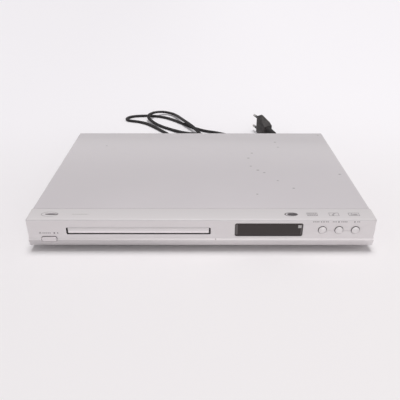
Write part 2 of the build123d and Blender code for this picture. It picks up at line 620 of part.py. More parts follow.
def button_switches():
    solids = []
    for x in BUTTON_XS:
        can = box(x - 3, x + 3, SWITCH_TIP + 0.8, BOARD_Y, BUTTON_Z - 3, BUTTON_Z + 3)
        solids.append(can + rod_y(x, BUTTON_Z, SWITCH_TIP, SWITCH_TIP + 0.8, 1.7))
    return group(solids)


def round_button(x):
    """A domed cap with the flange that keeps it in the bezel."""
    dome_radius = 11.0
    front = FACE_Y - 1.4
    cap = rod_y(x, BUTTON_Z, front, FLANGE_Y, BUTTON_RADIUS)
    dome = Pos(x, front + dome_radius, BUTTON_Z) * Sphere(dome_radius)
    reach = rod_y(x, BUTTON_Z, front - 1, FLANGE_Y + 1, BUTTON_RADIUS + 1)
    cap = cap & (dome & reach)
    flange = rod_y(x, BUTTON_Z, FLANGE_Y, FLANGE_Y + 1.0, BUTTON_RADIUS + 1.6)
    stem_end = SWITCH_TIP - BUTTON_TRAVEL - 0.1
    stem = rod_y(x, BUTTON_Z, FLANGE_Y + 1.0, stem_end, 1.5)
    return cap + flange + stem


def power_button():
    cap = front_block(POWER_X, POWER_Z, POWER_WIDTH, POWER_HEIGHT, FACE_Y - LEDGE_OUT + 0.15,
                      FLANGE_Y + 0.9, 2.0)
    cap = fillet(cap.faces().sort_by(Axis.Y)[0].edges(), 0.6)
    flange = front_block(POWER_X, POWER_Z, POWER_WIDTH + 3.0, POWER_HEIGHT + 1.6, FLANGE_Y + 0.9,
                         FLANGE_Y + 1.9, 1.2)
    stem = rod_y(POWER_X, POWER_Z, FLANGE_Y + 1.9, SWITCH_BODY_Y + 3.0, 1.6)
    return cap + flange + stem


def switch_board():
    plate = box(SWITCH_BOARD_X0, SWITCH_BOARD_X1, SWITCH_BOARD_Y0, SWITCH_BOARD_Y1, SWITCH_BOARD_Z,
                SWITCH_BOARD_Z + BOARD_THICK)
    holes = [rod_z(x, y, SWITCH_BOARD_Z - 1, SWITCH_BOARD_Z + 3, SCREW_RADIUS + SCREW_FIT)
             for x, y in SWITCH_SCREWS]
    return cut_all(plate, holes)


def power_switch():
    top = POWER_Z + 5.6
    body = box(POWER_X - SWITCH_HALF, POWER_X + SWITCH_HALF, SWITCH_BODY_Y, SWITCH_BODY_Y + 18.0,
               SWITCH_BOARD_Z + BOARD_THICK, top)
    bore = rod_y(POWER_X, POWER_Z, SWITCH_BODY_Y - 1, SWITCH_BODY_Y + POWER_TRAVEL + 4.5, 1.6 + RUN)
    return body - bore


# ---- Tray ----
def tray_door():
    door = front_block(LOADER_X, DOOR_Z + DOOR_HEIGHT / 2, DOOR_WIDTH, DOOR_HEIGHT,
                       FACE_Y - DOOR_PROUD, TRAY_FRONT, 1.0)
    top_edge = door.edges().filter_by(Axis.X).sort_by_distance((LOADER_X, FACE_Y - 9, DOOR_Z + 20))[0]
    return chamfer(top_edge, 0.9)


def rack_face():
    """The rack under the tray, its teeth pointing to the left."""
    tip = RACK_X - ADDENDUM * RACK_MODULE
    root = RACK_X + DEDENDUM * RACK_MODULE
    back = root + 2.0
    pitch = math.pi * RACK_MODULE
    slope = math.tan(PRESSURE_ANGLE)
    half_pitch_width = (pitch / 2 - BACKLASH / 2) / 2
    half_tip = half_pitch_width - ADDENDUM * RACK_MODULE * slope
    half_root = half_pitch_width + DEDENDUM * RACK_MODULE * slope
    count = int((TRAY_TRAVEL + 3 * pitch) / pitch) + 1
    first = GEAR_Y - 1.5 * pitch
    points = [(back, first - half_root - 1), (root, first - half_root - 1)]
    for tooth in range(count):
        y = first + tooth * pitch
        points += [(root, y - half_root), (tip, y - half_tip), (tip, y + half_tip), (root, y + half_root)]
    last = first + (count - 1) * pitch + half_root + 1
    points += [(root, last), (back, last)]
    return make_face(Polyline(*points, close=True))


def disc_tray():
    half = TRAY_WIDTH / 2
    plate = flat_block(LOADER_X - half, LOADER_X + half, TRAY_FRONT, TRAY_BACK, TRAY_Z, TRAY_TOP, 2.0)
    rails = box(LOADER_X - half - RAIL_OUT, LOADER_X + half + RAIL_OUT, TRAY_FRONT + 6, TRAY_BACK - 2,
                TRAY_Z, TRAY_Z + RAIL_HEIGHT)
    disc = rod_z(LOADER_X, DISC_Y, DISC_SEAT, TRAY_TOP + 1, DISC_RADIUS + DISC_FIT)
    mini = rod_z(LOADER_X, DISC_Y, DISC_SEAT - MINI_RECESS, TRAY_TOP + 1, MINI_DISC_RADIUS + DISC_FIT)
    slot = box(LOADER_X - TRAY_SLOT / 2, LOADER_X + TRAY_SLOT / 2, DISC_Y, TRAY_BACK + 1,
               TRAY_Z - 3, TRAY_TOP + 1)
    slot_end = rod_z(LOADER_X, DISC_Y, TRAY_Z - 3, TRAY_TOP + 1, TRAY_SLOT / 2)
    pocket_y = DISC_Y + DISC_RADIUS + 9.0
    pocket_half = (half - TRAY_SLOT / 2) / 2 - 5.0
    pocket_middle = (half + TRAY_SLOT / 2) / 2
    pockets = [flat_block(middle - pocket_half, middle + pocket_half, pocket_y, TRAY_BACK - 4.0, DISC_SEAT,
                          TRAY_TOP + 1, 2.0) for middle in (LOADER_X - pocket_middle, LOADER_X + pocket_middle)]
    rack = extrude(Pos(0, 0, RACK_Z) * rack_face(), RACK_HEIGHT + 0.5)
    body = joined([plate + rails, rack])
    return cut_all(body, [disc, mini, slot, slot_end] + pockets)


# ---- Loader ----
def loader_frame():
    pieces = []
    rail_low = TRAY_Z - 0.2
    for side in (-1, 1):
        inner = LOADER_X + side * FRAME_HALF
        outer = LOADER_X + side * FRAME_OUT
        pieces.append(box(inner, outer, FRAME_FRONT, FRAME_BACK, FRAME_Z, BRIDGE_Z))
        shelf_in = LOADER_X + side * (TRAY_WIDTH / 2 + 0.4)
        pieces.append(box(shelf_in, inner + side * 0.5, FRAME_FRONT, FRAME_BACK, rail_low - 1.4, rail_low))
        for y in (FRAME_FRONT + 4.0, FRAME_FRONT + 76.0, FRAME_BACK - 30.0):
            stop_in = LOADER_X + side * (TRAY_WIDTH / 2 + 1.2)
            stop_z = TRAY_Z + RAIL_HEIGHT + 0.3
            pieces.append(box(stop_in, inner + side * 0.5, y, y + 14.0, stop_z, stop_z + 1.5))
        plate_in = LOADER_X + side * (HOLDER_WIDTH / 2 + 0.4)
        pieces.append(box(plate_in, inner + side * 0.5, PIVOT_Y - 6, FRAME_BACK, FRAME_Z + 1.7,
                          FRAME_Z + 3.3))
        lug_out = plate_in + side * BEARING_OUT
        pieces.append(box(plate_in, lug_out, PIVOT_Y - 4, PIVOT_Y + 4, FRAME_Z + 3.3, PIVOT_Z + 3.4))
    pieces.append(box(LOADER_X - FRAME_HALF - 0.5, LOADER_X + FRAME_HALF + 0.5, FRAME_BACK - FRAME_WALL,
                      FRAME_BACK, FRAME_Z, TRAY_Z + 1.0))
    deck_back = FRAME_FRONT + 32.0
    pieces.append(box(LOADER_X - FRAME_HALF - 0.5, LOADER_X + FRAME_HALF + 0.5, FRAME_FRONT, deck_back,
                      DECK_TOP - DECK_THICK, DECK_TOP))
    pieces.append(rod_z(MOTOR_X, GEAR_Y, DECK_TOP, DECK_TOP + 1.6, MOTOR_RADIUS + 1.5))
    pieces.append(rod_z(GEAR_X, GEAR_Y, DECK_TOP, TRAY_Z - 0.4, GEAR_PIN_RADIUS))
    pieces.append(rod_z(GEAR_X, GEAR_Y, DECK_TOP, WHEEL_Z, GEAR_PIN_RADIUS + 1.5))
    pieces.append(rod_z(IDLER_X, GEAR_Y, DECK_TOP, TRAY_Z - 0.4, GEAR_PIN_RADIUS))
    pieces.append(rod_z(IDLER_X, GEAR_Y, DECK_TOP, WHEEL_Z, GEAR_PIN_RADIUS + 1.5))
    for x, y in LOADER_EARS:
        side = 1 if x > LOADER_X else -1
        wall_x = LOADER_X + side * (FRAME_OUT - 0.5)
        tip_x = LOADER_X + side * (FRAME_OUT + EAR_OUT)
        pieces.append(box(wall_x, tip_x, y - EAR_WIDTH / 2, y + EAR_WIDTH / 2, EAR_Z, EAR_Z + EAR_THICK))
    body = joined(pieces)
    motor_hole = rod_z(MOTOR_X, GEAR_Y, DECK_TOP - 3, DECK_TOP + 0.6, MOTOR_RADIUS + 0.1)
    shaft_hole = rod_z(MOTOR_X, GEAR_Y, DECK_TOP - 3, DECK_TOP + 3, MOTOR_PULLEY_RADIUS + 1.4)
    cutters = [motor_hole, shaft_hole]
    cutters += [rod_z(x, y, EAR_Z - 1, EAR_Z + 4, SCREW_RADIUS + SCREW_FIT) for x, y in LOADER_EARS]
    cutters.append(rod_x(PIVOT_Y, PIVOT_Z, LOADER_X - HOLDER_WIDTH / 2 - 6, LOADER_X + HOLDER_WIDTH / 2 + 6,
                         PIVOT_RADIUS + RUN))
    return cut_all(body, cutters)


def tray_motor():
    top = DECK_TOP + 0.6
    can = rod_z(MOTOR_X, GEAR_Y, top - MOTOR_HEIGHT, top, MOTOR_RADIUS)
    bearing = rod_z(MOTOR_X, GEAR_Y, top, top + 1.0, 2.5)
    shaft_bore = rod_z(MOTOR_X, GEAR_Y, top - 6.0, top + 2, SPINDLE_RADIUS + RUN)
    return can + bearing - shaft_bore


def pulley(x, radius):
    """A belt pulley between two thin rims."""
    rim_radius = radius + BELT_SIZE + 0.4
    z = PULLEY_Z
    lower = rod_z(x, GEAR_Y, z, z + PULLEY_RIM, rim_radius)
    groove = rod_z(x, GEAR_Y, z + PULLEY_RIM, z + PULLEY_RIM + PULLEY_GROOVE, radius)
    upper = rod_z(x, GEAR_Y, z + PULLEY_RIM + PULLEY_GROOVE, z + PULLEY_HEIGHT, rim_radius)
    return lower + groove + upper


def motor_pulley():
    shaft = rod_z(MOTOR_X, GEAR_Y, DECK_TOP - 5.0, PULLEY_Z, SPINDLE_RADIUS)
    return pulley(MOTOR_X, MOTOR_PULLEY_RADIUS) + shaft


def pulley_gear():
    half_step = math.pi / IDLER_TEETH
    teeth = extrude(Pos(IDLER_X, GEAR_Y, WHEEL_Z) * gear_face(IDLER_TEETH, WHEEL_MODULE, half_step),
                    PULLEY_Z - WHEEL_Z)
    bore = rod_z(IDLER_X, GEAR_Y, WHEEL_Z - 1, TRAY_Z, GEAR_PIN_RADIUS + RUN)
    return teeth + pulley(IDLER_X, PULLEY_RADIUS) - bore


def tray_gear():
    wheel = extrude(Pos(GEAR_X, GEAR_Y, WHEEL_Z) * gear_face(WHEEL_TEETH, WHEEL_MODULE), WHEEL_THICK)
    pinion_height = TRAY_Z - 0.3 - WHEEL_Z - WHEEL_THICK
    pinion = extrude(Pos(GEAR_X, GEAR_Y, WHEEL_Z + WHEEL_THICK) * gear_face(PINION_TEETH, RACK_MODULE),
                     pinion_height)
    bore = rod_z(GEAR_X, GEAR_Y, WHEEL_Z - 1, TRAY_Z, GEAR_PIN_RADIUS + RUN)
    return wheel + pinion - bore


def belt_loop(spread):
    """The area inside a line round both pulleys."""
    large = Pos(IDLER_X, GEAR_Y) * Circle(PULLEY_RADIUS + spread)
    small = Pos(MOTOR_X, GEAR_Y) * Circle(MOTOR_PULLEY_RADIUS + spread)
    return make_hull(large.edges() + small.edges())


def drive_belt():
    z = PULLEY_Z + PULLEY_RIM + (PULLEY_GROOVE - BELT_SIZE) / 2
    ring = belt_loop(BELT_GAP + BELT_SIZE) - belt_loop(BELT_GAP)
    return extrude(Pos(0, 0, z) * ring, BELT_SIZE)


def cam_slider():
    half = CAM_PIN_OFFSET + CAM_TRAVEL + 8.0
    top = DECK_TOP + 2.0
    plate = box(LOADER_X - half, LOADER_X + half, CAM_Y, CAM_Y + CAM_THICK, FLOOR_Z + SEAT, top)
    hook = box(LOADER_X - half, LOADER_X + half - 20.0, CAM_Y - 4.0, CAM_Y, DECK_TOP + 0.2, top)
    slots = []
    for pin_x in (LOADER_X - CAM_PIN_OFFSET, LOADER_X + CAM_PIN_OFFSET):
        plane = Plane(origin=(0, CAM_Y - 1, 0), x_dir=(1, 0, 0), z_dir=(0, -1, 0))
        high = (pin_x, PIVOT_Z)
        low = (pin_x - CAM_TRAVEL, PIVOT_Z - CAM_DROP)
        path = Line(high, low)
        outline = SlotOverall(path.length + 2 * (CAM_PIN_RADIUS + SEAT), 2 * (CAM_PIN_RADIUS + SEAT))
        angle = math.degrees(math.atan2(high[1] - low[1], high[0] - low[0]))
        middle = ((high[0] + low[0]) / 2, (high[1] + low[1]) / 2)
        slots.append(extrude(plane * Pos(*middle) * Rot(0, 0, angle) * outline, -CAM_THICK - 2))
    return cut_all(plate + hook, slots)


def clamp_bridge():
    y0 = DISC_Y - BRIDGE_DEPTH / 2
    y1 = DISC_Y + BRIDGE_DEPTH / 2
    plate = flat_block(LOADER_X - FRAME_OUT, LOADER_X + FRAME_OUT, y0, y1, BRIDGE_Z,
                       BRIDGE_Z + BRIDGE_THICK, 2.0)
    return plate - rod_z(LOADER_X, DISC_Y, BRIDGE_Z - 1, BRIDGE_Z + 3, CLAMP_RADIUS + 0.75)


def disc_clamp():
    low = TURNTABLE_TOP + 2.4
    seat = BRIDGE_Z + BRIDGE_THICK + SEAT
    neck = rod_z(LOADER_X, DISC_Y, low, seat, CLAMP_RADIUS)
    flange = rod_z(LOADER_X, DISC_Y, seat, seat + 1.7, CLAMP_RADIUS + 3.75)
    hub_hole = rod_z(LOADER_X, DISC_Y, low - 1, low + 1.2, HUB_RADIUS + 1.2)
    return neck + flange - hub_hole


# ---- Traverse ----
def traverse_holder():
    half = HOLDER_WIDTH / 2
    ring = flat_block(LOADER_X - half, LOADER_X + half, HOLDER_Y0, HOLDER_Y1, HOLDER_Z,
                      HOLDER_Z + HOLDER_THICK, 2.0)
    inner = box(LOADER_X - half + HOLDER_RIM, LOADER_X + half - HOLDER_RIM, HOLDER_Y0 + 5.0,
                HOLDER_Y1 - 4.5, HOLDER_Z - 1, HOLDER_Z + 4)
    body = ring - inner
    body = body + rod_x(PIVOT_Y, PIVOT_Z, LOADER_X - half - 3.4, LOADER_X - half + 1, PIVOT_RADIUS)
    body = body + rod_x(PIVOT_Y, PIVOT_Z, LOADER_X + half - 1, LOADER_X + half + 3.4, PIVOT_RADIUS)
    for pin_x in (LOADER_X - CAM_PIN_OFFSET, LOADER_X + CAM_PIN_OFFSET):
        body = body + box(pin_x - 2.5, pin_x + 2.5, HOLDER_Y0 - 0.6, HOLDER_Y0 + 2, HOLDER_Z,
                          HOLDER_Z + HOLDER_THICK)
        body = body + rod_y(pin_x, PIVOT_Z, CAM_Y + 0.3, HOLDER_Y0, CAM_PIN_RADIUS - 0.3)
    holes = [rod_z(x, y, HOLDER_Z - 1, HOLDER_Z + 4, DAMPER_SHANK + SCREW_FIT) for x, y in DAMPERS]
    return cut_all(body, holes)


def traverse_plate():
    half = HOLDER_WIDTH / 2 - 0.5
    plate = flat_block(LOADER_X - half, LOADER_X + half, HOLDER_Y0 + 2.0, PIVOT_Y, PLATE_Z, PLATE_TOP, 2.0)
    pieces = [plate]
    for side in (-1, 1):
        x0 = LOADER_X + side * (ROD_HALF - 3.0)
        x1 = LOADER_X + side * (ROD_HALF + 3.0)
        pieces.append(box(x0, x1, SLED_Y - 3.4, SLED_Y - 1.4, TAB_LOW, PLATE_Z))
        pieces.append(box(x0, x1, TAB_BACK, TAB_BACK + 2.0, TAB_LOW, PLATE_Z))
    pieces.append(box(SCREW_X - 3, SCREW_X + 3, SCREW_FRONT - 2.5, SCREW_FRONT - 0.5, SCREW_Z - 2.5, PLATE_Z))
    pieces.append(box(SCREW_X - FEED_MOTOR_RADIUS, SCREW_X + FEED_MOTOR_RADIUS, FEED_Y - 1.5, FEED_Y,
                      SCREW_Z - FEED_MOTOR_RADIUS, PLATE_Z))
    body = joined(pieces)
    window = box(LOADER_X - 18.0, LOADER_X + 18.0, SLED_Y - 1.0, TAB_BACK - 1.0, PLATE_Z - 1, PLATE_TOP + 1)
    motor_window = box(SCREW_X - 4.6, SCREW_X + 4.6, FEED_Y, FEED_Y + FEED_MOTOR_LENGTH + 1.0,
                       PLATE_Z - 1, PLATE_TOP + 1)
    spindle_hole = rod_z(LOADER_X, DISC_Y, PLATE_Z - 1, PLATE_TOP + 1, 4.0)
    cutters = [window, motor_window, spindle_hole]
    for side in (-1, 1):
        cutters.append(rod_y(LOADER_X + side * ROD_HALF, ROD_Z, SLED_Y - 5, TAB_BACK + 3, ROD_RADIUS + RUN))
    cutters.append(rod_y(SCREW_X, SCREW_Z, SCREW_FRONT - 4, FEED_Y + 1, SPINDLE_RADIUS + RUN))
    cutters += [rod_z(x, y, PLATE_Z - 1, PLATE_TOP + 1, DAMPER_SHANK + 2 * SCREW_FIT) for x, y in DAMPERS]
    return cut_all(body, cutters)


def rubber_dampers():
    rings = []
    for x, y in DAMPERS:
        ring = rod_z(x, y, PLATE_Z - DAMPER_THICK, PLATE_Z, DAMPER_RADIUS)
        rings.append(ring - rod_z(x, y, PLATE_Z - 2, PLATE_Z + 1, DAMPER_SHANK + SCREW_FIT))
    return group(rings)


def damper_screws():
    length = PLATE_THICK + DAMPER_THICK + HOLDER_THICK
    return group([screw(x, y, PLATE_TOP, length, DAMPER_SHANK, 2.2) for x, y in DAMPERS])


def spindle_motor():
    can = rod_z(LOADER_X, DISC_Y, PLATE_Z - SPINDLE_MOTOR_HEIGHT, PLATE_Z, SPINDLE_MOTOR_RADIUS)
    neck = rod_z(LOADER_X, DISC_Y, PLATE_Z, PLATE_TOP, 3.8)
    bore = rod_z(LOADER_X, DISC_Y, PLATE_Z - 4.0, PLATE_TOP + 1, SPINDLE_RADIUS + RUN)
    return can + neck - bore


def turntable():
    shaft = rod_z(LOADER_X, DISC_Y, PLATE_Z - 3.5, PLATE_TOP + SEAT, SPINDLE_RADIUS)
    boss = rod_z(LOADER_X, DISC_Y, PLATE_TOP + SEAT, TURNTABLE_TOP - 1.2, TURNTABLE_BOSS)
    disc = rod_z(LOADER_X, DISC_Y, TURNTABLE_TOP - 1.2, TURNTABLE_TOP, TURNTABLE_RADIUS)
    hub = Pos(LOADER_X, DISC_Y, TURNTABLE_TOP + 1.0) * Cone(HUB_RADIUS, HUB_RADIUS - 1.4, 2.0)
    return shaft + boss + disc + hub


def guide_rods():
    return group([rod_y(LOADER_X + side * ROD_HALF, ROD_Z, SLED_Y - 3.4, TAB_BACK + 2.0, ROD_RADIUS)
                  for side in (-1, 1)])


def pickup_sled():
    low = PLATE_Z - 4.9
    block = box(LOADER_X - SLED_HALF, LOADER_X + SLED_HALF, SLED_Y, SLED_BACK, low, PLATE_Z - 0.4)
    head = flat_block(LOADER_X - 14.0, LOADER_X + 14.0, SLED_Y + 0.5, SLED_BACK - 6.0, PLATE_Z - 0.4,
                      TRAY_Z + 1.0, 2.0)
    arm = box(LOADER_X + SLED_HALF, SCREW_X - LEAD_SCREW_RADIUS - SEAT, SLED_Y + 9.0, SLED_Y + 15.0,
              low + 1, PLATE_Z - 0.6)
    pocket = rod_z(LOADER_X, LENS_Y, TRAY_Z - 1.0, TRAY_Z + 2, LENS_RADIUS + 0.6)
    cutters = [pocket]
    for side in (-1, 1):
        cutters.append(rod_y(LOADER_X + side * ROD_HALF, ROD_Z, SLED_Y - 1, SLED_BACK + 1, ROD_RADIUS + RUN))
    return cut_all(joined([block, head, arm]), cutters)


def objective_lens():
    holder = rod_z(LOADER_X, LENS_Y, TRAY_Z - 1.0 + LENS_TRAVEL + 0.2, LENS_TOP - 0.4, LENS_RADIUS)
    glass = rod_z(LOADER_X, LENS_Y, LENS_TOP - 0.4, LENS_TOP, LENS_RADIUS - 1.2)
    return holder + glass


def feed_motor():
    can = rod_y(SCREW_X, SCREW_Z, FEED_Y, FEED_Y + FEED_MOTOR_LENGTH, FEED_MOTOR_RADIUS)
    return can - rod_y(SCREW_X, SCREW_Z, FEED_Y - 1, FEED_Y + 4.0, SPINDLE_RADIUS + RUN)


def lead_screw():
    thread = rod_y(SCREW_X, SCREW_Z, SCREW_FRONT, FEED_Y - 2.0, LEAD_SCREW_RADIUS)
    shaft = rod_y(SCREW_X, SCREW_Z, SCREW_FRONT - 2.5, FEED_Y + 3.0, SPINDLE_RADIUS)
    return thread + shaft


# ---- Boards ----
def chips(places):
    """Flat packages on the main board, given as x, y, half size and height."""
    solids = []
    for x, y, half, height in places:
        solids.append(box(x - half, x + half, y - half, y + half, BOARD_TOP, BOARD_TOP + height))
    return group(solids)


def main_chips():
    x = (MAIN_X0 + MAIN_X1) / 2
    y = (MAIN_Y0 + MAIN_Y1) / 2
    drawn = [(0.0, 0.0, 12.0, 2.0), (-34.0, 4.0, 6.0, 1.4), (30.0, 10.0, 7.0, 1.4), (28.0, -26.0, 5.0, 1.4),
             (-30.0, -30.0, 8.0, 2.0)]
    spread = (MAIN_X1 - MAIN_X0) / MAIN_DESIGN
    return chips([(x + across * spread, y + back, half, height) for across, back, half, height in drawn])


def cans(places):
    """Upright round capacitors, given as x, y, radius and height."""
    return group([rod_z(x, y, BOARD_TOP, BOARD_TOP + height, radius) for x, y, radius, height in places])


def main_capacitors():
    return cans([(MAIN_X0 + 20.0 + 12.0 * place, MAIN_Y0 + 62.0, 2.5, 7.0) for place in range(2)]
                + [(MAIN_X1 - 16.0, MAIN_Y0 + 30.0 + 11.0 * place, 3.2, 9.0) for place in range(5)])


def power_transformer():
    x = SUPPLY_X0 + 62.0
    y = (SUPPLY_Y0 + SUPPLY_Y1) / 2
    core_half = 9.0 * SUPPLY_SCALE
    bobbin_half = 13.0 * SUPPLY_SCALE
    core = box(x - 13.0, x + 13.0, y - core_half, y + core_half, BOARD_TOP + 2.0, BOARD_TOP + 18.0)
    bobbin = box(x - 9.0, x + 9.0, y - bobbin_half, y + bobbin_half, BOARD_TOP, BOARD_TOP + 15.0)
    return core + bobbin


def power_capacitors():
    middle = (SUPPLY_Y0 + SUPPLY_Y1) / 2
    drawn = [(34.0, 8.0, 20.0), (88.0, 4.0, 12.0), (98.5, 5.0, 14.0), (109.5, 4.0, 12.0)]
    row = middle + CAN_ROW * SUPPLY_SCALE
    return cans([(SUPPLY_X0 + x, row, radius, height) for x, radius, height in drawn])


def power_heatsink():
    x = SUPPLY_X0 + 78.5
    y0 = SUPPLY_Y0 + 8.0 * SUPPLY_SCALE
    y1 = SUPPLY_Y1 - 12.0 * SUPPLY_SCALE
    pitch = 5.2 * SUPPLY_SCALE
    web = box(x - 1.0, x + 1.0, y0, y1, BOARD_TOP, BOARD_TOP + 19.0)
    fins = [box(x, x + 3.6, y0 + pitch * place, y0 + 1.4 + pitch * place, BOARD_TOP + 3.0, BOARD_TOP + 19.0)
            for place in range(3)]
    return joined([web] + fins)


def mains_fuse():
    x = SUPPLY_X0 + 15.0
    y = SUPPLY_Y0 + 20.0 * SUPPLY_SCALE
    tube = rod_y(x, BOARD_TOP + 4.0, y - 10.0, y + 10.0, 2.6)
    clips = [box(x - 2.2, x + 2.2, y + end - 1.5, y + end + 1.5, BOARD_TOP, BOARD_TOP + 3.0)
             for end in (-8.0, 8.0)]
    return joined([tube] + clips)


def chassis_screws():
    ear_seat = EAR_Z + EAR_THICK
    solids = [screw(x, y, ear_seat, EAR_THICK + 4.0) for x, y in LOADER_EARS]
    solids += [screw(x, y, BOARD_TOP, BOARD_THICK + 4.0) for x, y in MAIN_SCREWS + SUPPLY_SCREWS]
    solids += [screw(x, y, SWITCH_BOARD_Z + BOARD_THICK, BOARD_THICK + 2.0) for x, y in SWITCH_SCREWS]
    for x, z in BOSS_PLACES:
        head = rod_y(x, z, BOARD_Y + BOARD_THICK, BOARD_Y + BOARD_THICK + 1.4, 2.0)
        solids.append(head + rod_y(x, z, BOARD_Y - 4.0, BOARD_Y + BOARD_THICK, BOSS_PILOT - SCREW_FIT))
    return group(solids)


def phono_sockets():
    x0 = PHONO_XS[0] - PHONO_PITCH / 2
    x1 = PHONO_XS[-1] + PHONO_PITCH / 2
    pieces = [box(x0, x1, PANEL_Y - 14.0, PANEL_Y, BOARD_TOP, PHONO_Z + 6.0)]
    for x in PHONO_XS:
        pieces.append(rod_y(x, PHONO_Z, PANEL_Y, PHONO_FACE, PHONO_RADIUS + 1.0))
    cutters = [rod_y(x, PHONO_Z, PANEL_Y - 6.0, PANEL_BACK + 3, PHONO_RADIUS - PHONO_STEP + SCREW_FIT)
               for x in PHONO_XS]
    return cut_all(joined(pieces), cutters)


def phono_barrels():
    barrels = []
    for x in PHONO_XS:
        tube = rod_y(x, PHONO_Z, PHONO_FACE, BACK_Y + SOCKET_OUT, PHONO_RADIUS)
        tube = tube + rod_y(x, PHONO_Z, PANEL_Y - 6.0, PHONO_FACE, PHONO_RADIUS - PHONO_STEP)
        barrels.append(tube - rod_y(x, PHONO_Z, BACK_Y - 2.5, BACK_Y + SOCKET_OUT + 1, PHONO_BORE))
    return group(barrels)


def scart_socket():
    """A 21-way socket: an open D-shaped mouth round a tongue of contacts."""
    mouth_y = BACK_Y + 4.0
    shell = front_block(SCART_X, SCART_Z, SCART_WIDTH, SCART_HEIGHT, PANEL_Y - 12.0, mouth_y, 1.0)
    half = SCART_WIDTH / 2 - 2.0
    rise = SCART_HEIGHT / 2 - 1.2
    outline = [(-half, rise), (half - 4.0, rise), (half, rise - 4.0), (half, -rise), (-half, -rise)]
    plane = Plane(origin=(SCART_X, mouth_y + 1, SCART_Z), x_dir=(1, 0, 0), z_dir=(0, -1, 0))
    mouth = extrude(plane * make_face(Polyline(*outline, close=True)), 11.0)
    return shell - mouth


# ---- Wiring ----
def ribbon_cable():
    """The flat cable from the main board to the loader's rear wall."""
    x0 = MAIN_X0 + 6.0
    y = PIVOT_Y + 8.0
    plug_end = box(x0 - 1, x0 + 12.0, y - 2.5, y + 2.5, BOARD_TOP, BOARD_TOP + 5.0)
    strip = box(LOADER_X + FRAME_OUT + 0.4, x0 + 11.0, y - 0.2, y + 0.2, BOARD_TOP + 5.0, BOARD_TOP + 12.0)
    return plug_end + strip


def front_ribbon():
    """The flat cable from the front board back to the main board."""
    x0 = WINDOW_X + WINDOW_WIDTH / 2 - 18.0
    x1 = x0 + 16.0
    z = BOARD_TOP + 3.0
    strip = box(x0, x1, BOARD_Y + BOARD_THICK, MAIN_Y0 + 6.0, z, z + 0.4)
    front_end = box(x0 - 1.5, x1 + 1.5, BOARD_Y + BOARD_THICK, BOARD_Y + BOARD_THICK + 4.0, z - 2.0, z + 2.0)
    back_end = box(x0 - 1.5, x1 + 1.5, MAIN_Y0 + 3.0, MAIN_Y0 + 8.0, BOARD_TOP, z + 2.0)
    return joined([strip, front_end, back_end])


def tube_along(points, radii, radius):
    """A round tube on straight runs joined by tangent arcs."""
    path = FilletPolyline(*points, radius=radii)
    start = Plane(origin=path @ 0, z_dir=path % 0)
    return sweep(start * Circle(radius), path=path), path


def corner_radii(points):
    """Each arc is as large as its two runs allow."""
    radii = []
    for before, corner, after in zip(points, points[1:], points[2:]):
        run_in = Vector(*corner) - Vector(*before)
        run_out = Vector(*after) - Vector(*corner)
        turn = math.radians(run_in.get_angle(run_out))
        radii.append(0.45 * min(run_in.length, run_out.length) / math.tan(turn / 2))
    return radii


def power_harness():
    """Two wires in a sleeve from the mains switch to the supply board."""
    x = POWER_X
    z = FLOOR_Z + 1.8
    start_y = SWITCH_BODY_Y + 18.0
    points = [(x, start_y, z + 7.5), (x, start_y + 14.0, z + 7.5), (x - 6.0, start_y + 34.0, z),
              (x - 7.0, start_y + 78.0, z), (x - 4.0, SUPPLY_Y0 - 30.0, z),
              (x + 6.0, SUPPLY_Y0 - 9.0, z + 7.0), (x + 10.0, SUPPLY_Y0 + 4.0, BOARD_TOP + 4.0)]
    sleeve = tube_along(points, corner_radii(points), 1.7)[0]
    end_x, end_y, end_z = points[-1]
    return sleeve + box(end_x - 4, end_x + 4, end_y - 1.0, end_y + 4, BOARD_TOP, end_z + 3.0)


# ---- Mains lead ----
def cord_gland():
    """A grommet in the rear panel with a tapered tail round the lead."""
    inner = rod_y(GLAND_X, GLAND_Z, PANEL_Y - 2.5, PANEL_Y, GLAND_RADIUS + 1.6)
    barrel = rod_y(GLAND_X, GLAND_Z, PANEL_Y, PANEL_BACK, GLAND_RADIUS)
    flange = rod_y(GLAND_X, GLAND_Z, PANEL_BACK, PANEL_BACK + 2.5, GLAND_RADIUS + 1.8)
    tail = Cone(GLAND_RADIUS - 1.2, CORD_WIDTH / 2 + 0.6, GLAND_TAIL)
    tail = Pos(GLAND_X, GLAND_END - GLAND_TAIL / 2, GLAND_Z) * Rot(-90, 0, 0) * tail
    return joined([inner, barrel, flange, tail])


def plug_place():
    return Pos(PLUG_X, PLUG_Y, PLUG_Z) * Rot(0, 0, PLUG_TURN)


def plug_body():
    """A flat two-pin plug that stands on its narrow edge, with its tail."""
    half = PLUG_HEIGHT / 2
    side = PLUG_THICK / 2
    face_half = 13.0
    face_side = 4.2
    brow = 7.0
    shoulder = 10.5
    waist = 6.4
    rise = [(0, -face_half), (0, face_half), (-brow, half), (-shoulder, half), (-PLUG_LENGTH, waist),
            (-PLUG_LENGTH, -waist), (-shoulder, -half), (-brow, -half)]
    profile = side_profile(rise, -side, side)
    plan = Polyline((-face_side, 0), (face_side, 0), (side, -brow), (side, -PLUG_LENGTH),
                    (-side, -PLUG_LENGTH), (-side, -brow), close=True)
    spread = extrude(Pos(0, 0, -half) * make_face(plan), PLUG_HEIGHT)
    ridge = 1.4
    flank = 10.0
    ends = Polyline((-ridge, -half), (ridge, -half), (side, -flank), (side, flank), (ridge, half),
                    (-ridge, half), (-side, flank), (-side, -flank), close=True)
    face = Plane(origin=(0, 1, 0), x_dir=(1, 0, 0), z_dir=(0, -1, 0))
    section = extrude(face * make_face(ends), PLUG_LENGTH + 2)
    body = profile & spread & section
    tail = Cone(5.2, CORD_WIDTH / 2 + 0.4, PLUG_TAIL + 1.0)
    tail = Pos(0, 0.5 - PLUG_LENGTH - PLUG_TAIL / 2, 0) * Rot(90, 0, 0) * tail
    return plug_place() * (body + tail)


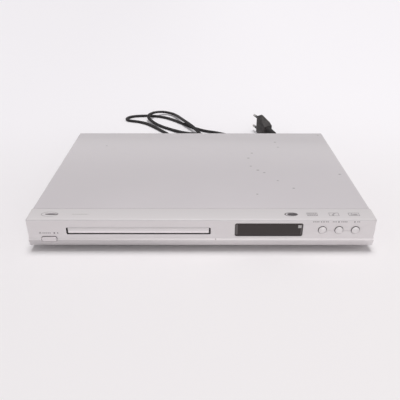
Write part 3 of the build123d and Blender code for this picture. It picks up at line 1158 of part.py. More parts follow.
def plug_pins():
    pins = []
    for side in (-1, 1):
        pin = rod_y(0, side * PIN_SPACING / 2, 0, PIN_LENGTH, PIN_RADIUS)
        tip = pin.edges().sort_by(Axis.Y)[-1]
        pins.append(fillet(tip, 1.2))
    return plug_place() * group(pins)


def behind_plug(beyond_tail):
    """A point on the plug's axis, beyond the end of its tail."""
    turn = math.radians(PLUG_TURN)
    reach = PLUG_LENGTH + PLUG_TAIL + beyond_tail
    return (PLUG_X + reach * math.sin(turn), PLUG_Y - reach * math.cos(turn), PLUG_Z)


LIE = CORD_THICK / 2     # height of the lead's middle where it lies on the floor
OVER = LIE + CORD_THICK + 3.4
CORD_ROUTE = [
    (GLAND_X, GLAND_END, GLAND_Z), (GLAND_X, GLAND_END + 16.6, GLAND_Z), (-140.0, 181.0, 11.0),
    (-120.0, 190.0, 3.4), (-92.0, 183.0, LIE), (-54.0, 164.0, LIE), (-10.0, 146.0, LIE),
    (28.0, 138.0, LIE), (52.0, 141.0, LIE), (66.0, 154.0, LIE), (64.0, 173.0, 2.2),
    (46.0, 184.0, 4.0), (21.0, 190.0, OVER), (-5.0, 199.0, OVER), (-26.0, 217.0, 4.0),
    (-47.0, 237.0, LIE), (-68.0, 255.0, LIE), (-86.0, 274.0, 3.4), (-97.0, 290.0, OVER),
    (-90.0, 312.0, OVER), (-73.0, 331.0, 5.0), (-55.0, 326.0, 3.4), (-43.0, 306.0, 5.0),
    (-32.0, 272.0, OVER), (-14.0, 238.0, OVER), (2.0, 210.0, 2.4), (0.0, 187.0, LIE),
    (-18.0, 176.0, LIE), (-39.0, 190.0, LIE), (-54.0, 216.0, LIE), (-77.0, 248.0, LIE),
    (-97.0, 273.0, LIE), (-117.0, 284.0, LIE), (-131.0, 287.0, LIE), (-136.5, 298.0, LIE),
    (-130.0, 310.0, LIE), (-115.0, 315.0, LIE), (-90.0, 316.0, LIE), (-60.0, 304.0, LIE),
    (-29.0, 268.0, LIE), (0.0, 236.0, LIE), (31.0, 224.0, LIE), (51.0, 208.0, LIE),
    (70.0, 186.0, LIE), (80.0, 162.0, 3.0), (88.0, 145.0, 7.0), (99.0, 134.0, 11.5),
    (112.0, 132.0, 15.5), (121.5, 142.0, PLUG_Z), behind_plug(14.5), behind_plug(0.0)]


def mains_cord():
    radii = corner_radii(CORD_ROUTE)
    tube, path = tube_along(CORD_ROUTE, radii, CORD_THICK / 2)
    section = math.pi * CORD_THICK ** 2 / 4
    print("lead length", round(path.length, 1), "radii", [round(radius, 1) for radius in radii])
    print("lead volume over section times length", round(tube.volume / (section * path.length), 4))
    return tube


NODES = {
    "bottom_chassis": bottom_chassis, "rear_panel": rear_panel, "top_cover": top_cover,
    "cover_screws": cover_screws, "front_bezel": front_bezel, "display_window": display_window,
    "feet": feet, "foot_pads": foot_pads, "front_board": front_board, "display_module": display_module,
    "remote_sensor": remote_sensor, "button_switches": button_switches,
    "play_button": lambda: round_button(BUTTON_XS[0]), "stop_button": lambda: round_button(BUTTON_XS[1]),
    "eject_button": lambda: round_button(BUTTON_XS[2]), "power_button": power_button,
    "switch_board": switch_board, "power_switch": power_switch, "tray_door": tray_door,
    "disc_tray": disc_tray, "loader_frame": loader_frame, "tray_motor": tray_motor,
    "motor_pulley": motor_pulley, "pulley_gear": pulley_gear, "tray_gear": tray_gear,
    "drive_belt": drive_belt, "cam_slider": cam_slider, "clamp_bridge": clamp_bridge,
    "disc_clamp": disc_clamp, "traverse_holder": traverse_holder, "traverse_plate": traverse_plate,
    "rubber_dampers": rubber_dampers, "damper_screws": damper_screws, "spindle_motor": spindle_motor,
    "turntable": turntable, "guide_rods": guide_rods, "pickup_sled": pickup_sled,
    "objective_lens": objective_lens, "feed_motor": feed_motor, "lead_screw": lead_screw,
    "main_board": lambda: board(MAIN_X0, MAIN_X1, MAIN_Y0, MAIN_Y1, MAIN_SCREWS),
    "main_chips": main_chips,
    "main_capacitors": main_capacitors,
    "power_board": lambda: board(SUPPLY_X0, SUPPLY_X1, SUPPLY_Y0, SUPPLY_Y1, SUPPLY_SCREWS),
    "power_transformer": power_transformer, "power_capacitors": power_capacitors,
    "power_heatsink": power_heatsink, "mains_fuse": mains_fuse, "chassis_screws": chassis_screws,
    "phono_sockets": phono_sockets, "phono_barrels": phono_barrels, "scart_socket": scart_socket,
    "ribbon_cable": ribbon_cable, "front_ribbon": front_ribbon, "power_harness": power_harness,
    "cord_gland": cord_gland, "plug_body": plug_body, "plug_pins": plug_pins, "mains_cord": mains_cord,
}

for name, make in NODES.items():
    export_step(make(), f"parts/{name}.step")
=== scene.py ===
import bpy
import json
import math
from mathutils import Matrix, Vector


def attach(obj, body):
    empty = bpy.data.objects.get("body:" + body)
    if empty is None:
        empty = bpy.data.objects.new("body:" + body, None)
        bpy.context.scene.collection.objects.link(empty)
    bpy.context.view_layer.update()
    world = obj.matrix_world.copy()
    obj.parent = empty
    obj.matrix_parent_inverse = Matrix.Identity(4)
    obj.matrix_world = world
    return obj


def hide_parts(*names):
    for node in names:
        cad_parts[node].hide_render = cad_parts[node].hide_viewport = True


# A disc player with a drawer tray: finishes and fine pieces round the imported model.
# Places and sizes are in millimetres, as in the part's source, and MM turns them into the scene's metres.

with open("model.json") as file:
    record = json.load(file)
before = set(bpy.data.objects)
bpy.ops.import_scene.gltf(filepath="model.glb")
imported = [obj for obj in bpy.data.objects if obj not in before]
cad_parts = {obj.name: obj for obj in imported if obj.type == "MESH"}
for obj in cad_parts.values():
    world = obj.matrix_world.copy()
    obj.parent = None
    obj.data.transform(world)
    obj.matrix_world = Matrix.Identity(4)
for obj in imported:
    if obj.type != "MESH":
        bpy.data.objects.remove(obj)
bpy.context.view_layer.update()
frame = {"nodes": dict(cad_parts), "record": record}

MM = 0.001
PER_MM = 1000.0
BODY_OF = {node: body for body, nodes in frame["record"]["behaviour"]["bodies"].items() for node in nodes}
SLOT_OF = {part["node"]: part["material_slot"] for part in frame["record"]["subparts"]}

# The bezel's face, and the strip that slopes up behind it to the cover.
FACE_Y = -128.0
STRIP_BACK = -106.5
STRIP_TOP = 38.5
STRIP_FALL = 0.8

# The plug: the middle of its pin face, its turn in degrees, and how far back its tail ends.
PLUG_FACE = (98.3, 226.0, 17.65)
PLUG_TURN = 20.0
PLUG_REACH = 56.0
PIN_HALF_SPACING = 9.3

# The lead's gland on the rear panel, where its tail ends, and the flat jacket's section.
GLAND = (-150.0, 120.9, 18.0)
GLAND_END = 147.4
LEAD_WIDTH = 6.0
LEAD_THICK = 3.7

# The phono and 21-way sockets, and the underside of the case.
PHONO_XS = (118.75, 132.75, 146.75, 160.75)
PHONO_FACE = 122.5
PHONO_Z = 24.0
PHONO_RADIUS = 4.15
SCART_X = 55.14
SCART_Z = 20.8
SCART_FLOOR = 116.0
BASE_Z = 6.5


# ---- Camera ----
FOCAL_LENGTH = 43.0
SENSOR_WIDTH = 36.0
CAMERA_PLACE = (-1.955, -548.36, 285.86)
CAMERA_DOWN, CAMERA_ROLL, CAMERA_SWING = 28.197, -0.067, -0.045


def make_camera():
    lens = bpy.data.cameras.new("camera")
    lens.lens = FOCAL_LENGTH
    lens.sensor_width = SENSOR_WIDTH
    camera = bpy.data.objects.new("camera", lens)
    camera.location = Vector(CAMERA_PLACE) * MM
    camera.rotation_euler = [math.radians(angle) for angle in (90.0 - CAMERA_DOWN, CAMERA_ROLL, CAMERA_SWING)]
    bpy.context.scene.collection.objects.link(camera)
    bpy.context.scene.camera = camera


make_camera()


# ---- Modelling helpers ----
SMOOTH_ANGLE = math.radians(38.0)
FLAT_ANGLE = math.radians(0.4)
WELD = 1e-6
AXIS_TURN = {"X": (0.0, math.pi / 2, 0.0), "Y": (-math.pi / 2, 0.0, 0.0), "Z": (0.0, 0.0, 0.0)}


def select_only(*pieces):
    bpy.ops.object.select_all(action="DESELECT")
    for piece in pieces:
        piece.select_set(True)
    bpy.context.view_layer.objects.active = pieces[0]


def named(piece, name):
    piece.name = name
    piece.data.name = name
    return piece


def fix_place(piece):
    """Moves the piece's place, turn and scale into its mesh."""
    select_only(piece)
    bpy.ops.object.transform_apply(location=True, rotation=True, scale=True)
    return piece


def moved(piece, offset, turn=(0.0, 0.0, 0.0)):
    """Turns the piece about the origin, then moves it by an offset in millimetres."""
    piece.rotation_euler = turn
    piece.location = Vector(offset) * MM
    return fix_place(piece)


def repeated(piece, offsets):
    """The piece and its copies, each with its own mesh, at further offsets in millimetres."""
    row = [piece]
    for offset in offsets:
        twin = piece.copy()
        twin.data = piece.data.copy()
        bpy.context.scene.collection.objects.link(twin)
        row.append(moved(twin, offset))
    return row


def joined(name, pieces):
    select_only(*pieces)
    bpy.ops.object.join()
    return named(pieces[0], name)


def add_modifier(piece, kind, **settings):
    select_only(piece)
    modifier = piece.modifiers.new(kind.lower(), kind)
    for key, value in settings.items():
        setattr(modifier, key, value)
    bpy.ops.object.modifier_apply(modifier=modifier.name)


def round_edges(piece, width, segments=2, angle=40.0):
    add_modifier(piece, "BEVEL", width=width * MM, segments=segments, limit_method="ANGLE",
                 angle_limit=math.radians(angle), use_clamp_overlap=True, miter_outer="MITER_ARC")
    select_only(piece)
    bpy.ops.object.shade_smooth_by_angle(angle=SMOOTH_ANGLE)
    return piece


def cut_out(piece, cutter):
    add_modifier(piece, "BOOLEAN", object=cutter, operation="DIFFERENCE", solver="EXACT")
    bpy.data.objects.remove(cutter)
    return piece


def block(name, low, high):
    """A box between two corners."""
    low, high = Vector(low) * MM, Vector(high) * MM
    bpy.ops.object.select_all(action="DESELECT")
    bpy.ops.mesh.primitive_cube_add(size=1.0, location=(low + high) / 2)
    piece = named(bpy.context.object, name)
    piece.scale = high - low
    return fix_place(piece)


def wedge(name, radius, thick):
    """A flat triangle at the origin that stands on the bezel's face, with a point up."""
    bpy.ops.object.select_all(action="DESELECT")
    bpy.ops.mesh.primitive_cone_add(vertices=3, radius1=radius * MM, radius2=radius * MM, depth=thick * MM,
                                    rotation=AXIS_TURN["Y"])
    return fix_place(named(bpy.context.object, name))


def turned(name, profile, middle, axis, sides=64):
    """A closed profile of radius and height, spun about an axis through the middle."""
    bpy.ops.object.select_all(action="DESELECT")
    mesh = bpy.data.meshes.new(name)
    points = [(radius * MM, 0.0, height * MM) for radius, height in profile]
    edges = [(i, (i + 1) % len(points)) for i in range(len(points))]
    mesh.from_pydata(points, edges, [])
    piece = bpy.data.objects.new(name, mesh)
    bpy.context.scene.collection.objects.link(piece)
    select_only(piece)
    bpy.ops.object.mode_set(mode="EDIT")
    bpy.ops.mesh.select_all(action="SELECT")
    bpy.ops.mesh.spin(steps=sides, angle=2 * math.pi, center=(0.0, 0.0, 0.0), axis=(0.0, 0.0, 1.0))
    bpy.ops.mesh.select_all(action="SELECT")
    bpy.ops.mesh.remove_doubles(threshold=WELD)
    bpy.ops.mesh.normals_make_consistent(inside=False)
    bpy.ops.object.mode_set(mode="OBJECT")
    moved(piece, middle, AXIS_TURN[axis])
    bpy.ops.object.shade_smooth_by_angle(angle=SMOOTH_ANGLE)
    return piece


def merged_copy(node, name):
    """A copy of a CAD node as one clean mesh with its flat faces joined."""
    source = frame["nodes"][node]
    piece = source.copy()
    piece.data = source.data.copy()
    for key in list(piece.keys()):
        del piece[key]
    piece.parent = None
    piece.name = name
    bpy.context.scene.collection.objects.link(piece)
    select_only(piece)
    if piece.data.has_custom_normals:
        bpy.ops.mesh.customdata_custom_splitnormals_clear()
    bpy.ops.object.mode_set(mode="EDIT")
    bpy.ops.mesh.select_all(action="SELECT")
    bpy.ops.mesh.remove_doubles(threshold=2 * WELD)
    bpy.ops.mesh.dissolve_limited(angle_limit=FLAT_ANGLE)
    bpy.ops.object.mode_set(mode="OBJECT")
    return piece


# ---- Shader maths ----
class Quantity:
    """A socket in a node tree; arithmetic on it adds Math nodes."""

    def __init__(self, builder, socket):
        self.builder = builder
        self.socket = socket

    def _math(self, operation, first, second=None):
        return self.builder.node("ShaderNodeMath", {"operation": operation}, {0: first, 1: second})

    def __add__(self, other):
        return self._math("ADD", self, other)

    def __radd__(self, other):
        return self._math("ADD", other, self)

    def __sub__(self, other):
        return self._math("SUBTRACT", self, other)

    def __rsub__(self, other):
        return self._math("SUBTRACT", other, self)

    def __mul__(self, other):
        return self._math("MULTIPLY", self, other)

    def __rmul__(self, other):
        return self._math("MULTIPLY", other, self)

    def __mod__(self, other):
        return self._math("FLOORED_MODULO", self, other)

    def __abs__(self):
        return self._math("ABSOLUTE", self)

    def or_more(self, other):
        return self._math("MAXIMUM", self, other)


class Builder:
    """Adds nodes to one tree, for a finish or for the room."""

    def __init__(self, tree):
        self.tree = tree

    def feed(self, socket, value):
        if isinstance(value, Quantity):
            self.tree.links.new(value.socket, socket)
        elif value is not None:
            socket.default_value = value

    def node(self, kind, settings=None, inputs=None, output=0):
        """A node of a kind: its settings first, then the values or links of its sockets."""
        made = self.tree.nodes.new(kind)
        for key, value in (settings or {}).items():
            setattr(made, key, value)
        for key, value in (inputs or {}).items():
            self.feed(made.inputs[key], value)
        return Quantity(self, made.outputs[output])


class Finish(Builder):
    """One procedural material, read by place on the object."""

    def __init__(self, name):
        self.material = bpy.data.materials.new(name)
        self.material.use_nodes = True
        super().__init__(self.material.node_tree)
        self.tree.nodes.clear()
        self.surface = self.tree.nodes.new("ShaderNodeBsdfPrincipled")
        output = self.tree.nodes.new("ShaderNodeOutputMaterial")
        self.tree.links.new(self.surface.outputs[0], output.inputs[0])
        self.place = self.node("ShaderNodeTexCoord", output="Object")
        self.x, self.y, self.z = (self.node("ShaderNodeSeparateXYZ", {}, {0: self.place}, axis)
                                  for axis in "XYZ")

    def set(self, **sockets):
        """Feeds the surface's sockets, by names with underscores for their spaces."""
        for key, value in sockets.items():
            self.feed(self.surface.inputs[key.replace("_", " ")], value)

    def noise(self, scale, detail=3.0, roughness=0.5, place=None):
        return self.node("ShaderNodeTexNoise", {}, {"Vector": place or self.place, "Scale": scale,
                                                    "Detail": detail, "Roughness": roughness}, "Fac")

    def cells(self, scale, output="Distance"):
        return self.node("ShaderNodeTexVoronoi", {}, {"Vector": self.place, "Scale": scale}, output)

    def patches(self, scale):
        """A level that stays the same within each cell."""
        return self.node("ShaderNodeSeparateColor", {}, {0: self.cells(scale, "Color")}, "Red")

    def vector(self, operation, first, second=None, output="Vector"):
        return self.node("ShaderNodeVectorMath", {"operation": operation}, {0: first, 1: second}, output)

    def fade(self, value, low, high):
        """0 below low, 1 above high, smooth between; low may be the larger."""
        return self.node("ShaderNodeMapRange", {"interpolation_type": "SMOOTHSTEP"},
                         {"Value": value, "From Min": low, "From Max": high})

    def within(self, value, low, high, soft):
        return self.fade(value, low - soft, low + soft) * self.fade(value, high + soft, high - soft)

    def fade_along(self, axis, low, high):
        """A fade between two places in millimetres along an axis."""
        return self.fade(axis, low * MM, high * MM)

    def band(self, axis, low, high, soft):
        """1 between two places in millimetres along an axis."""
        return self.within(axis, low * MM, high * MM, soft * MM)

    def near(self, point, reach, soft=0.5):
        """1 near a point in millimetres, with a reach for each axis."""
        offset = self.vector("SUBTRACT", self.place, Vector(point) * MM)
        scaled = self.vector("DIVIDE", offset, Vector(reach) * MM)
        return self.fade(self.vector("LENGTH", scaled, output="Value"), 1.0, 1.0 - soft)

    def lines(self, value, edge, end):
        """Lines one unit apart: 0 along each line's middle, 1 beyond its edge."""
        return self.fade(abs(value % 1.0 - 0.5), edge, end)

    def mix(self, factor, first, second):
        return self.node("ShaderNodeMix", {"data_type": "RGBA"}, {0: factor, 6: first, 7: second}, 2)

    def shift(self, colour, amount, factor):
        """A colour that goes darker and lighter by amount as factor goes from 0 to 1."""
        return self.mix(factor, toned(colour, 1 - amount), toned(colour, 1 + amount))

    def bump(self, height, strength, distance):
        return self.node("ShaderNodeBump", {}, {"Strength": strength, "Distance": distance * MM,
                                                "Height": height}, "Normal")


def toned(colour, level=1.0):
    """A colour at a level of its own brightness, with its alpha."""
    return tuple(min(1.0, channel * level) for channel in colour) + (1.0,)


# ---- Finishes ----
# Scuffs on the cover: place across and back, and size.
SCUFFS = [(104.8, 86.4, 2.0), (106.3, 67.5, 1.8), (68.3, 46.2, 1.9), (62.1, 29.3, 2.0), (62.9, 3.7, 1.8),
          (70.5, -8.5, 2.1), (77.6, -15.8, 1.9), (90.9, -38.4, 1.6), (106.4, -58.2, 1.8),
          (62.9, -73.0, 1.5), (169.0, -20.5, 2.0), (171.8, 114.3, 1.6), (-130.6, 72.2, 1.5)]
SCUFF_GREY = (0.26, 0.245, 0.245)
# Painted sheen: the cover's paint grows lighter from the first place to the second, toward the back.
SHEEN_FROM, SHEEN_TO = -20.0, 125.0

# The bezel's ledge, its nick, the chin under it and the walls of its openings: places and colours.
LEDGE_LOW, LEDGE_HIGH = 13.8, 15.1
# Painted highlight along the ledge: it fades in from the first place across to full at the second, toward the
# right.
LEDGE_SHINE_FROM, LEDGE_SHINE_TO = -150.0, -20.0
NICK_LEFT, NICK_RIGHT, NICK_FOOT = 14.6, 15.5, 13.7
CHIN_TOP, CHIN_FULL = 13.9, 13.4
# Painted shade on the chin: it grows from the first place across to full at the second, toward the left.
CHIN_SHADE_FROM, CHIN_SHADE_TO = 30.0, -90.0
# Painted shade inside the bezel's openings: where it starts and is full, and its bounds.
WALL_START, WALL_FULL = FACE_Y + 0.42, FACE_Y + 0.7
WALL_FOOT, WALL_TOP, WALL_SIDE = 9.0, 36.0, 177.0
NICK_GREY = (0.3, 0.27, 0.27)
WALL_SHADE = (0.02, 0.018, 0.018)
# Painted shade on the buttons' side walls.
BUTTON_SIDE_SHADE = (0.03, 0.027, 0.027)
MATT_FROM, MATT_TO = 33.5, 36.5
# Painted shade: above the fold the strip is darker, to even out the light from above.
FOLD_LOW, FOLD_HIGH = 36.0, 37.2

# The display's pale ends behind the window.
DISPLAY_LEFT = (35.1, 37.6)
DISPLAY_RIGHT = (102.9, 104.3)
DISPLAY_HEIGHT = (19.6, 32.0)
DISPLAY_GREY = (0.16, 0.145, 0.145)

# The pickup's lens at rest, and how far its glass reaches.
LENS_MIDDLE = (-65.0, -34.0, 25.2)
LENS_REACH = (2.0, 2.0, 2.0)


def silver_paint(name, colour):
    """Satin silver paint with a painted sheen that makes it paler toward the back: fine flake, faint orange
    peel, smudges and a few scuffs.
    """
    finish = Finish(name)
    flake = finish.noise(5200.0, 1.0, 0.5)
    cloud = finish.noise(9.0, 3.0, 0.55)
    smudge = finish.fade(finish.noise(26.0, 4.0, 0.6), 0.52, 0.74)
    # Painted sheen: the paint is lighter toward the back.
    tone = finish.mix(finish.fade_along(finish.y, SHEEN_FROM, SHEEN_TO),
                      finish.shift(colour, 0.055, cloud * 0.7 + flake * 0.3), toned(colour, 1.07))
    ragged = finish.noise(900.0, 3.0, 0.7)
    spots = [finish.near((x, y, STRIP_TOP), (size * 1.7, size * 1.3, 3.0), 0.8) for x, y, size in SCUFFS]
    scuff = spots[0]
    for spot in spots[1:]:
        scuff = scuff.or_more(spot)
    scuff = finish.fade(scuff * 0.8 + ragged * 0.4, 0.55, 0.95)
    peel = flake * 0.3 + finish.noise(420.0, 2.0) * 0.7
    finish.set(Base_Color=finish.mix(scuff * 0.8, tone, toned(SCUFF_GREY)),
               Roughness=0.4 + 0.12 * cloud + 0.06 * smudge + 0.2 * scuff, Metallic=0.12,
               Coat_Weight=0.6, Coat_Roughness=0.25, Normal=finish.bump(peel, 0.12, 0.02))
    return finish


def bezel_marks(finish, tone, colour):
    """The bezel's chin with painted shade, deeper toward the left, its ledge with a painted highlight and a
    nick, and painted shade that makes the walls of its openings near black.
    """
    # Painted shade on the chin, deeper toward the left.
    chin = finish.fade_along(finish.z, CHIN_TOP, CHIN_FULL) * finish.fade_along(
        finish.x, CHIN_SHADE_FROM, CHIN_SHADE_TO)
    # Painted highlight along the ledge, stronger toward the right.
    ledge_highlight = finish.band(finish.z, LEDGE_LOW, LEDGE_HIGH, 0.2) * finish.fade_along(
        finish.x, LEDGE_SHINE_FROM, LEDGE_SHINE_TO)
    nick = finish.band(finish.x, NICK_LEFT, NICK_RIGHT, 0.15) * finish.band(
        finish.z, NICK_FOOT, LEDGE_HIGH, 0.1)
    # Painted shade: the walls inside the openings go near black.
    walls = finish.fade_along(finish.y, WALL_START, WALL_FULL) * finish.band(
        finish.z, WALL_FOOT, WALL_TOP, 0.3) * finish.fade_along(abs(finish.x), WALL_SIDE, WALL_SIDE - 1.0)
    tone = finish.mix(chin, tone, toned(colour, 0.82))
    tone = finish.mix(ledge_highlight, tone, toned(colour, 1.2))
    tone = finish.mix(nick * 0.6, tone, toned(NICK_GREY))
    return finish.mix(walls, tone, toned(WALL_SHADE))


def bezel_finish(name, colour, pierced=False, dark_from=None, bright_below=None):
    """Silver plastic, matt where it folds back to the strip, with painted shade that makes the strip darker.

    The pierced bezel also has its marks. dark_from is where painted shade on a button's side walls begins,
    and bright_below is the height of the top of a band painted lighter as a reflection.
    """
    finish = Finish(name)
    flake = finish.noise(4200.0, 1.0, 0.5)
    cloud = finish.noise(12.0, 3.0, 0.55)
    tone = finish.shift(colour, 0.035, cloud * 0.6 + flake * 0.4)
    if pierced:
        tone = bezel_marks(finish, tone, colour)
    if dark_from is not None:
        # Painted shade: a button's side walls go near black behind dark_from.
        sides = finish.fade_along(finish.y, dark_from - 0.15, dark_from + 0.15)
        tone = finish.mix(sides * 0.9, tone, toned(BUTTON_SIDE_SHADE))
    if bright_below is not None:
        # Painted reflection: the band below bright_below is lighter.
        painted_reflection = finish.fade_along(finish.z, bright_below + 0.5, bright_below - 0.5)
        tone = finish.mix(painted_reflection, tone, toned(colour, 1.2))
    matt = finish.fade_along(finish.z, MATT_FROM, MATT_TO)
    # Painted shade: the strip is darker to even out the light from above.
    strip = finish.fade_along(finish.z, FOLD_LOW, FOLD_HIGH)
    finish.set(Base_Color=finish.mix(strip, tone, toned(colour, 0.79)), Metallic=0.4,
               Roughness=0.36 + 0.12 * cloud + 0.2 * matt, Normal=finish.bump(flake, 0.08, 0.02))
    return finish


def smoked_window(name, colour):
    """Smoked plastic with the pale ends of the display behind it."""
    finish = Finish(name)
    left_end = finish.band(finish.x, *DISPLAY_LEFT, 0.25)
    right_end = finish.band(finish.x, *DISPLAY_RIGHT, 0.25)
    pale = (left_end * 0.75).or_more(right_end * 0.7) * finish.band(finish.z, *DISPLAY_HEIGHT, 0.3)
    smoke = finish.shift(colour, 0.1, finish.noise(30.0, 3.0))
    finish.set(Base_Color=finish.mix(pale, smoke, toned(DISPLAY_GREY)),
               Roughness=0.2 + 0.1 * finish.noise(14.0, 4.0), Specular_IOR_Level=0.35)
    return finish


def moulded(name, colour, roughness=0.45, grain=0.35, change=0.12):
    """Moulded plastic: a fine grain, faint flow marks and handling shine."""
    finish = Finish(name)
    flow = finish.noise(22.0, 3.0)
    specks = finish.noise(2600.0, 2.0, 0.6)
    finish.set(Base_Color=finish.shift(colour, change, flow * 0.6 + specks * 0.4),
               Roughness=roughness - 0.1 + 0.2 * finish.noise(60.0, 4.0, 0.6),
               Normal=finish.bump(specks, grain, 0.02))
    return finish


def sheet_metal(name, colour, roughness=0.36, spangle=0.0, streaks=(4.0, 900.0, 900.0)):
    """Plated or brushed steel with fine streaks and, on galvanised sheet, faint spangle."""
    finish = Finish(name)
    streak = finish.noise(1.0, 3.0, 0.6, finish.vector("MULTIPLY", finish.place, streaks))
    cloud = finish.noise(18.0, 3.0)
    tone = streak * 0.55 + cloud * 0.45
    if spangle:
        tone = tone * (1 - spangle) + spangle * finish.patches(160.0)
    finish.set(Base_Color=finish.shift(colour, 0.14, tone), Metallic=0.9,
               Roughness=roughness - 0.08 + 0.16 * cloud, Normal=finish.bump(streak, 0.12, 0.02))
    return finish


def solder_mask(name, colour):
    """A circuit board: green mask over copper runs, with tinned pads."""
    finish = Finish(name)
    runs_a_metre = 620.0
    across, along = (finish.lines(axis * runs_a_metre, 0.2, 0.28) for axis in (finish.x, finish.y))
    choose = finish.fade(finish.noise(95.0, 1.0), 0.47, 0.5)
    runs = across * choose + along * (1 - choose)
    pads = finish.fade(finish.cells(330.0), 0.16, 0.12) * finish.fade(finish.patches(210.0), 0.4, 0.5)
    tone = finish.mix(runs * 0.7, toned(colour), toned(colour, 1.7))
    finish.set(Base_Color=finish.mix(pads, tone, toned((0.6, 0.6, 0.58))), Metallic=pads * 0.8,
               Roughness=0.4 - 0.12 * pads, Normal=finish.bump(runs, 0.3, 0.04))
    return finish


def ribbon(name, colour):
    """Flat cable film with its parallel conductors, a millimetre apart."""
    finish = Finish(name)
    film = finish.lines(finish.x * PER_MM + finish.z * PER_MM, 0.2, 0.3)
    finish.set(Base_Color=finish.mix(film, toned((0.5, 0.51, 0.53)), toned(colour)), Roughness=0.35,
               Normal=finish.bump(film, 0.3, 0.05))
    return finish


def shrunk_sleeve(name, colour):
    """A capacitor's sleeve with its pale polarity stripes."""
    finish = Finish(name)
    stripe = finish.within((finish.x * PER_MM + finish.y * 400.0) % 9.0, 0.4, 1.6, 0.15)
    wrinkle = finish.noise(300.0, 2.0)
    film = finish.shift(colour, 0.15, wrinkle)
    finish.set(Base_Color=finish.mix(stripe * 0.8, film, toned((0.55, 0.57, 0.6))),
               Roughness=0.3 + 0.1 * wrinkle, Normal=finish.bump(wrinkle, 0.1, 0.03))
    return finish


def wound_tape(name, colour):
    """The transformer's yellow tape in layers three millimetres high."""
    finish = Finish(name)
    layers = finish.within((finish.z * PER_MM) % 3.0, 0.2, 2.8, 0.15)
    cloud = finish.noise(220.0, 3.0)
    finish.set(Base_Color=finish.shift(colour, 0.2, layers * 0.5 + cloud * 0.5),
               Roughness=0.45 + 0.15 * cloud, Normal=finish.bump(layers, 0.4, 0.08))
    return finish


def clear_lens(name, colour):
    """A coated pickup lens in its black cell."""
    finish = Finish(name)
    glass = finish.near(LENS_MIDDLE, LENS_REACH, 0.3)
    finish.set(Base_Color=finish.mix(glass, toned((0.02, 0.02, 0.025)), toned(colour)),
               Roughness=0.5 - 0.42 * glass)
    return finish


def rubber(name, colour, roughness=0.6):
    """Soft black rubber or cable jacket: dull, with dust in its pores."""
    finish = Finish(name)
    pores = finish.noise(1500.0, 3.0, 0.65)
    dust = finish.fade(finish.noise(55.0, 4.0, 0.6), 0.5, 0.72)
    dusty = tuple(channel * 1.5 + 0.006 for channel in colour)
    finish.set(Base_Color=finish.mix(dust * 0.5, finish.shift(colour, 0.2, pores), toned(dusty)),
               Roughness=roughness - 0.08 + 0.16 * pores, Specular_IOR_Level=0.25,
               Normal=finish.bump(pores, 0.2, 0.03))
    return finish


def plug_plastic(name):
    """The moulded plug's plastic, greyer than the lead, with rubbed patches."""
    finish = Finish(name)
    pores = finish.noise(1400.0, 3.0, 0.65)
    rubbed = finish.fade(finish.noise(130.0, 4.0, 0.65), 0.42, 0.7)
    finish.set(Base_Color=finish.mix(rubbed, toned((0.034, 0.03, 0.03)), toned((0.068, 0.06, 0.06))),
               Roughness=0.5 + 0.15 * pores, Specular_IOR_Level=0.3, Normal=finish.bump(pores, 0.25, 0.04))
    return finish


def print_ink(name, colour):
    """Printing that wears thin in places."""
    finish = Finish(name)
    wear = finish.fade(finish.noise(1400.0, 3.0, 0.7), 0.3, 0.7)
    finish.set(Base_Color=finish.shift(colour, 0.15, wear), Roughness=0.45 + 0.1 * wear)
    return finish


BEZEL_SILVER = (0.752, 0.72, 0.729)
MAKERS = {
    "cover_paint": lambda name: silver_paint(name, (0.535, 0.502, 0.521)),
    "bezel_plastic": lambda name: bezel_finish(name, BEZEL_SILVER, pierced=True),
    "button_plastic": lambda name: bezel_finish(name, (0.78, 0.75, 0.758), dark_from=-128.55),
    "window_glass": lambda name: smoked_window(name, (0.044, 0.034, 0.034)),
    "zinc_steel": lambda name: sheet_metal(name, (0.62, 0.63, 0.64), 0.42, 0.25, (40.0, 40.0, 40.0)),
    "screw_steel": lambda name: sheet_metal(name, (0.4, 0.4, 0.41), 0.35),
    "black_plastic": lambda name: moulded(name, (0.028, 0.028, 0.031)),
    "tray_plastic": lambda name: moulded(name, (0.055, 0.054, 0.058), 0.5, 0.5),
    "white_plastic": lambda name: moulded(name, (0.78, 0.76, 0.71), 0.42, 0.2, 0.05),
    "foot_rubber": lambda name: rubber(name, (0.03, 0.03, 0.03), 0.75),
    "cable_rubber": lambda name: rubber(name, (0.018, 0.016, 0.017)),
    "circuit_board": lambda name: solder_mask(name, (0.03, 0.12, 0.055)),
    "chip_plastic": lambda name: moulded(name, (0.022, 0.022, 0.023), 0.6, 0.6),
    "can_sleeve": lambda name: shrunk_sleeve(name, (0.02, 0.025, 0.06)),
    "motor_steel": lambda name: sheet_metal(name, (0.64, 0.64, 0.65), 0.3, streaks=(20.0, 20.0, 1200.0)),
    "bright_steel": lambda name: sheet_metal(name, (0.7, 0.7, 0.71), 0.26, streaks=(600.0, 20.0, 600.0)),
    "heatsink_metal": lambda name: sheet_metal(name, (0.7, 0.7, 0.71), 0.4),
    "transformer_tape": lambda name: wound_tape(name, (0.62, 0.47, 0.08)),
    "lens_glass": lambda name: clear_lens(name, (0.2, 0.28, 0.45)),
    "ribbon_film": lambda name: ribbon(name, (0.8, 0.8, 0.77)),
}
FINISHES = {}


def finish_for(slot):
    if slot not in FINISHES:
        FINISHES[slot] = MAKERS[slot](slot).material
    return FINISHES[slot]


def dress(piece, slot, material=None):
    piece.data.materials.clear()
    piece.data.materials.append(material or finish_for(slot))
    return piece


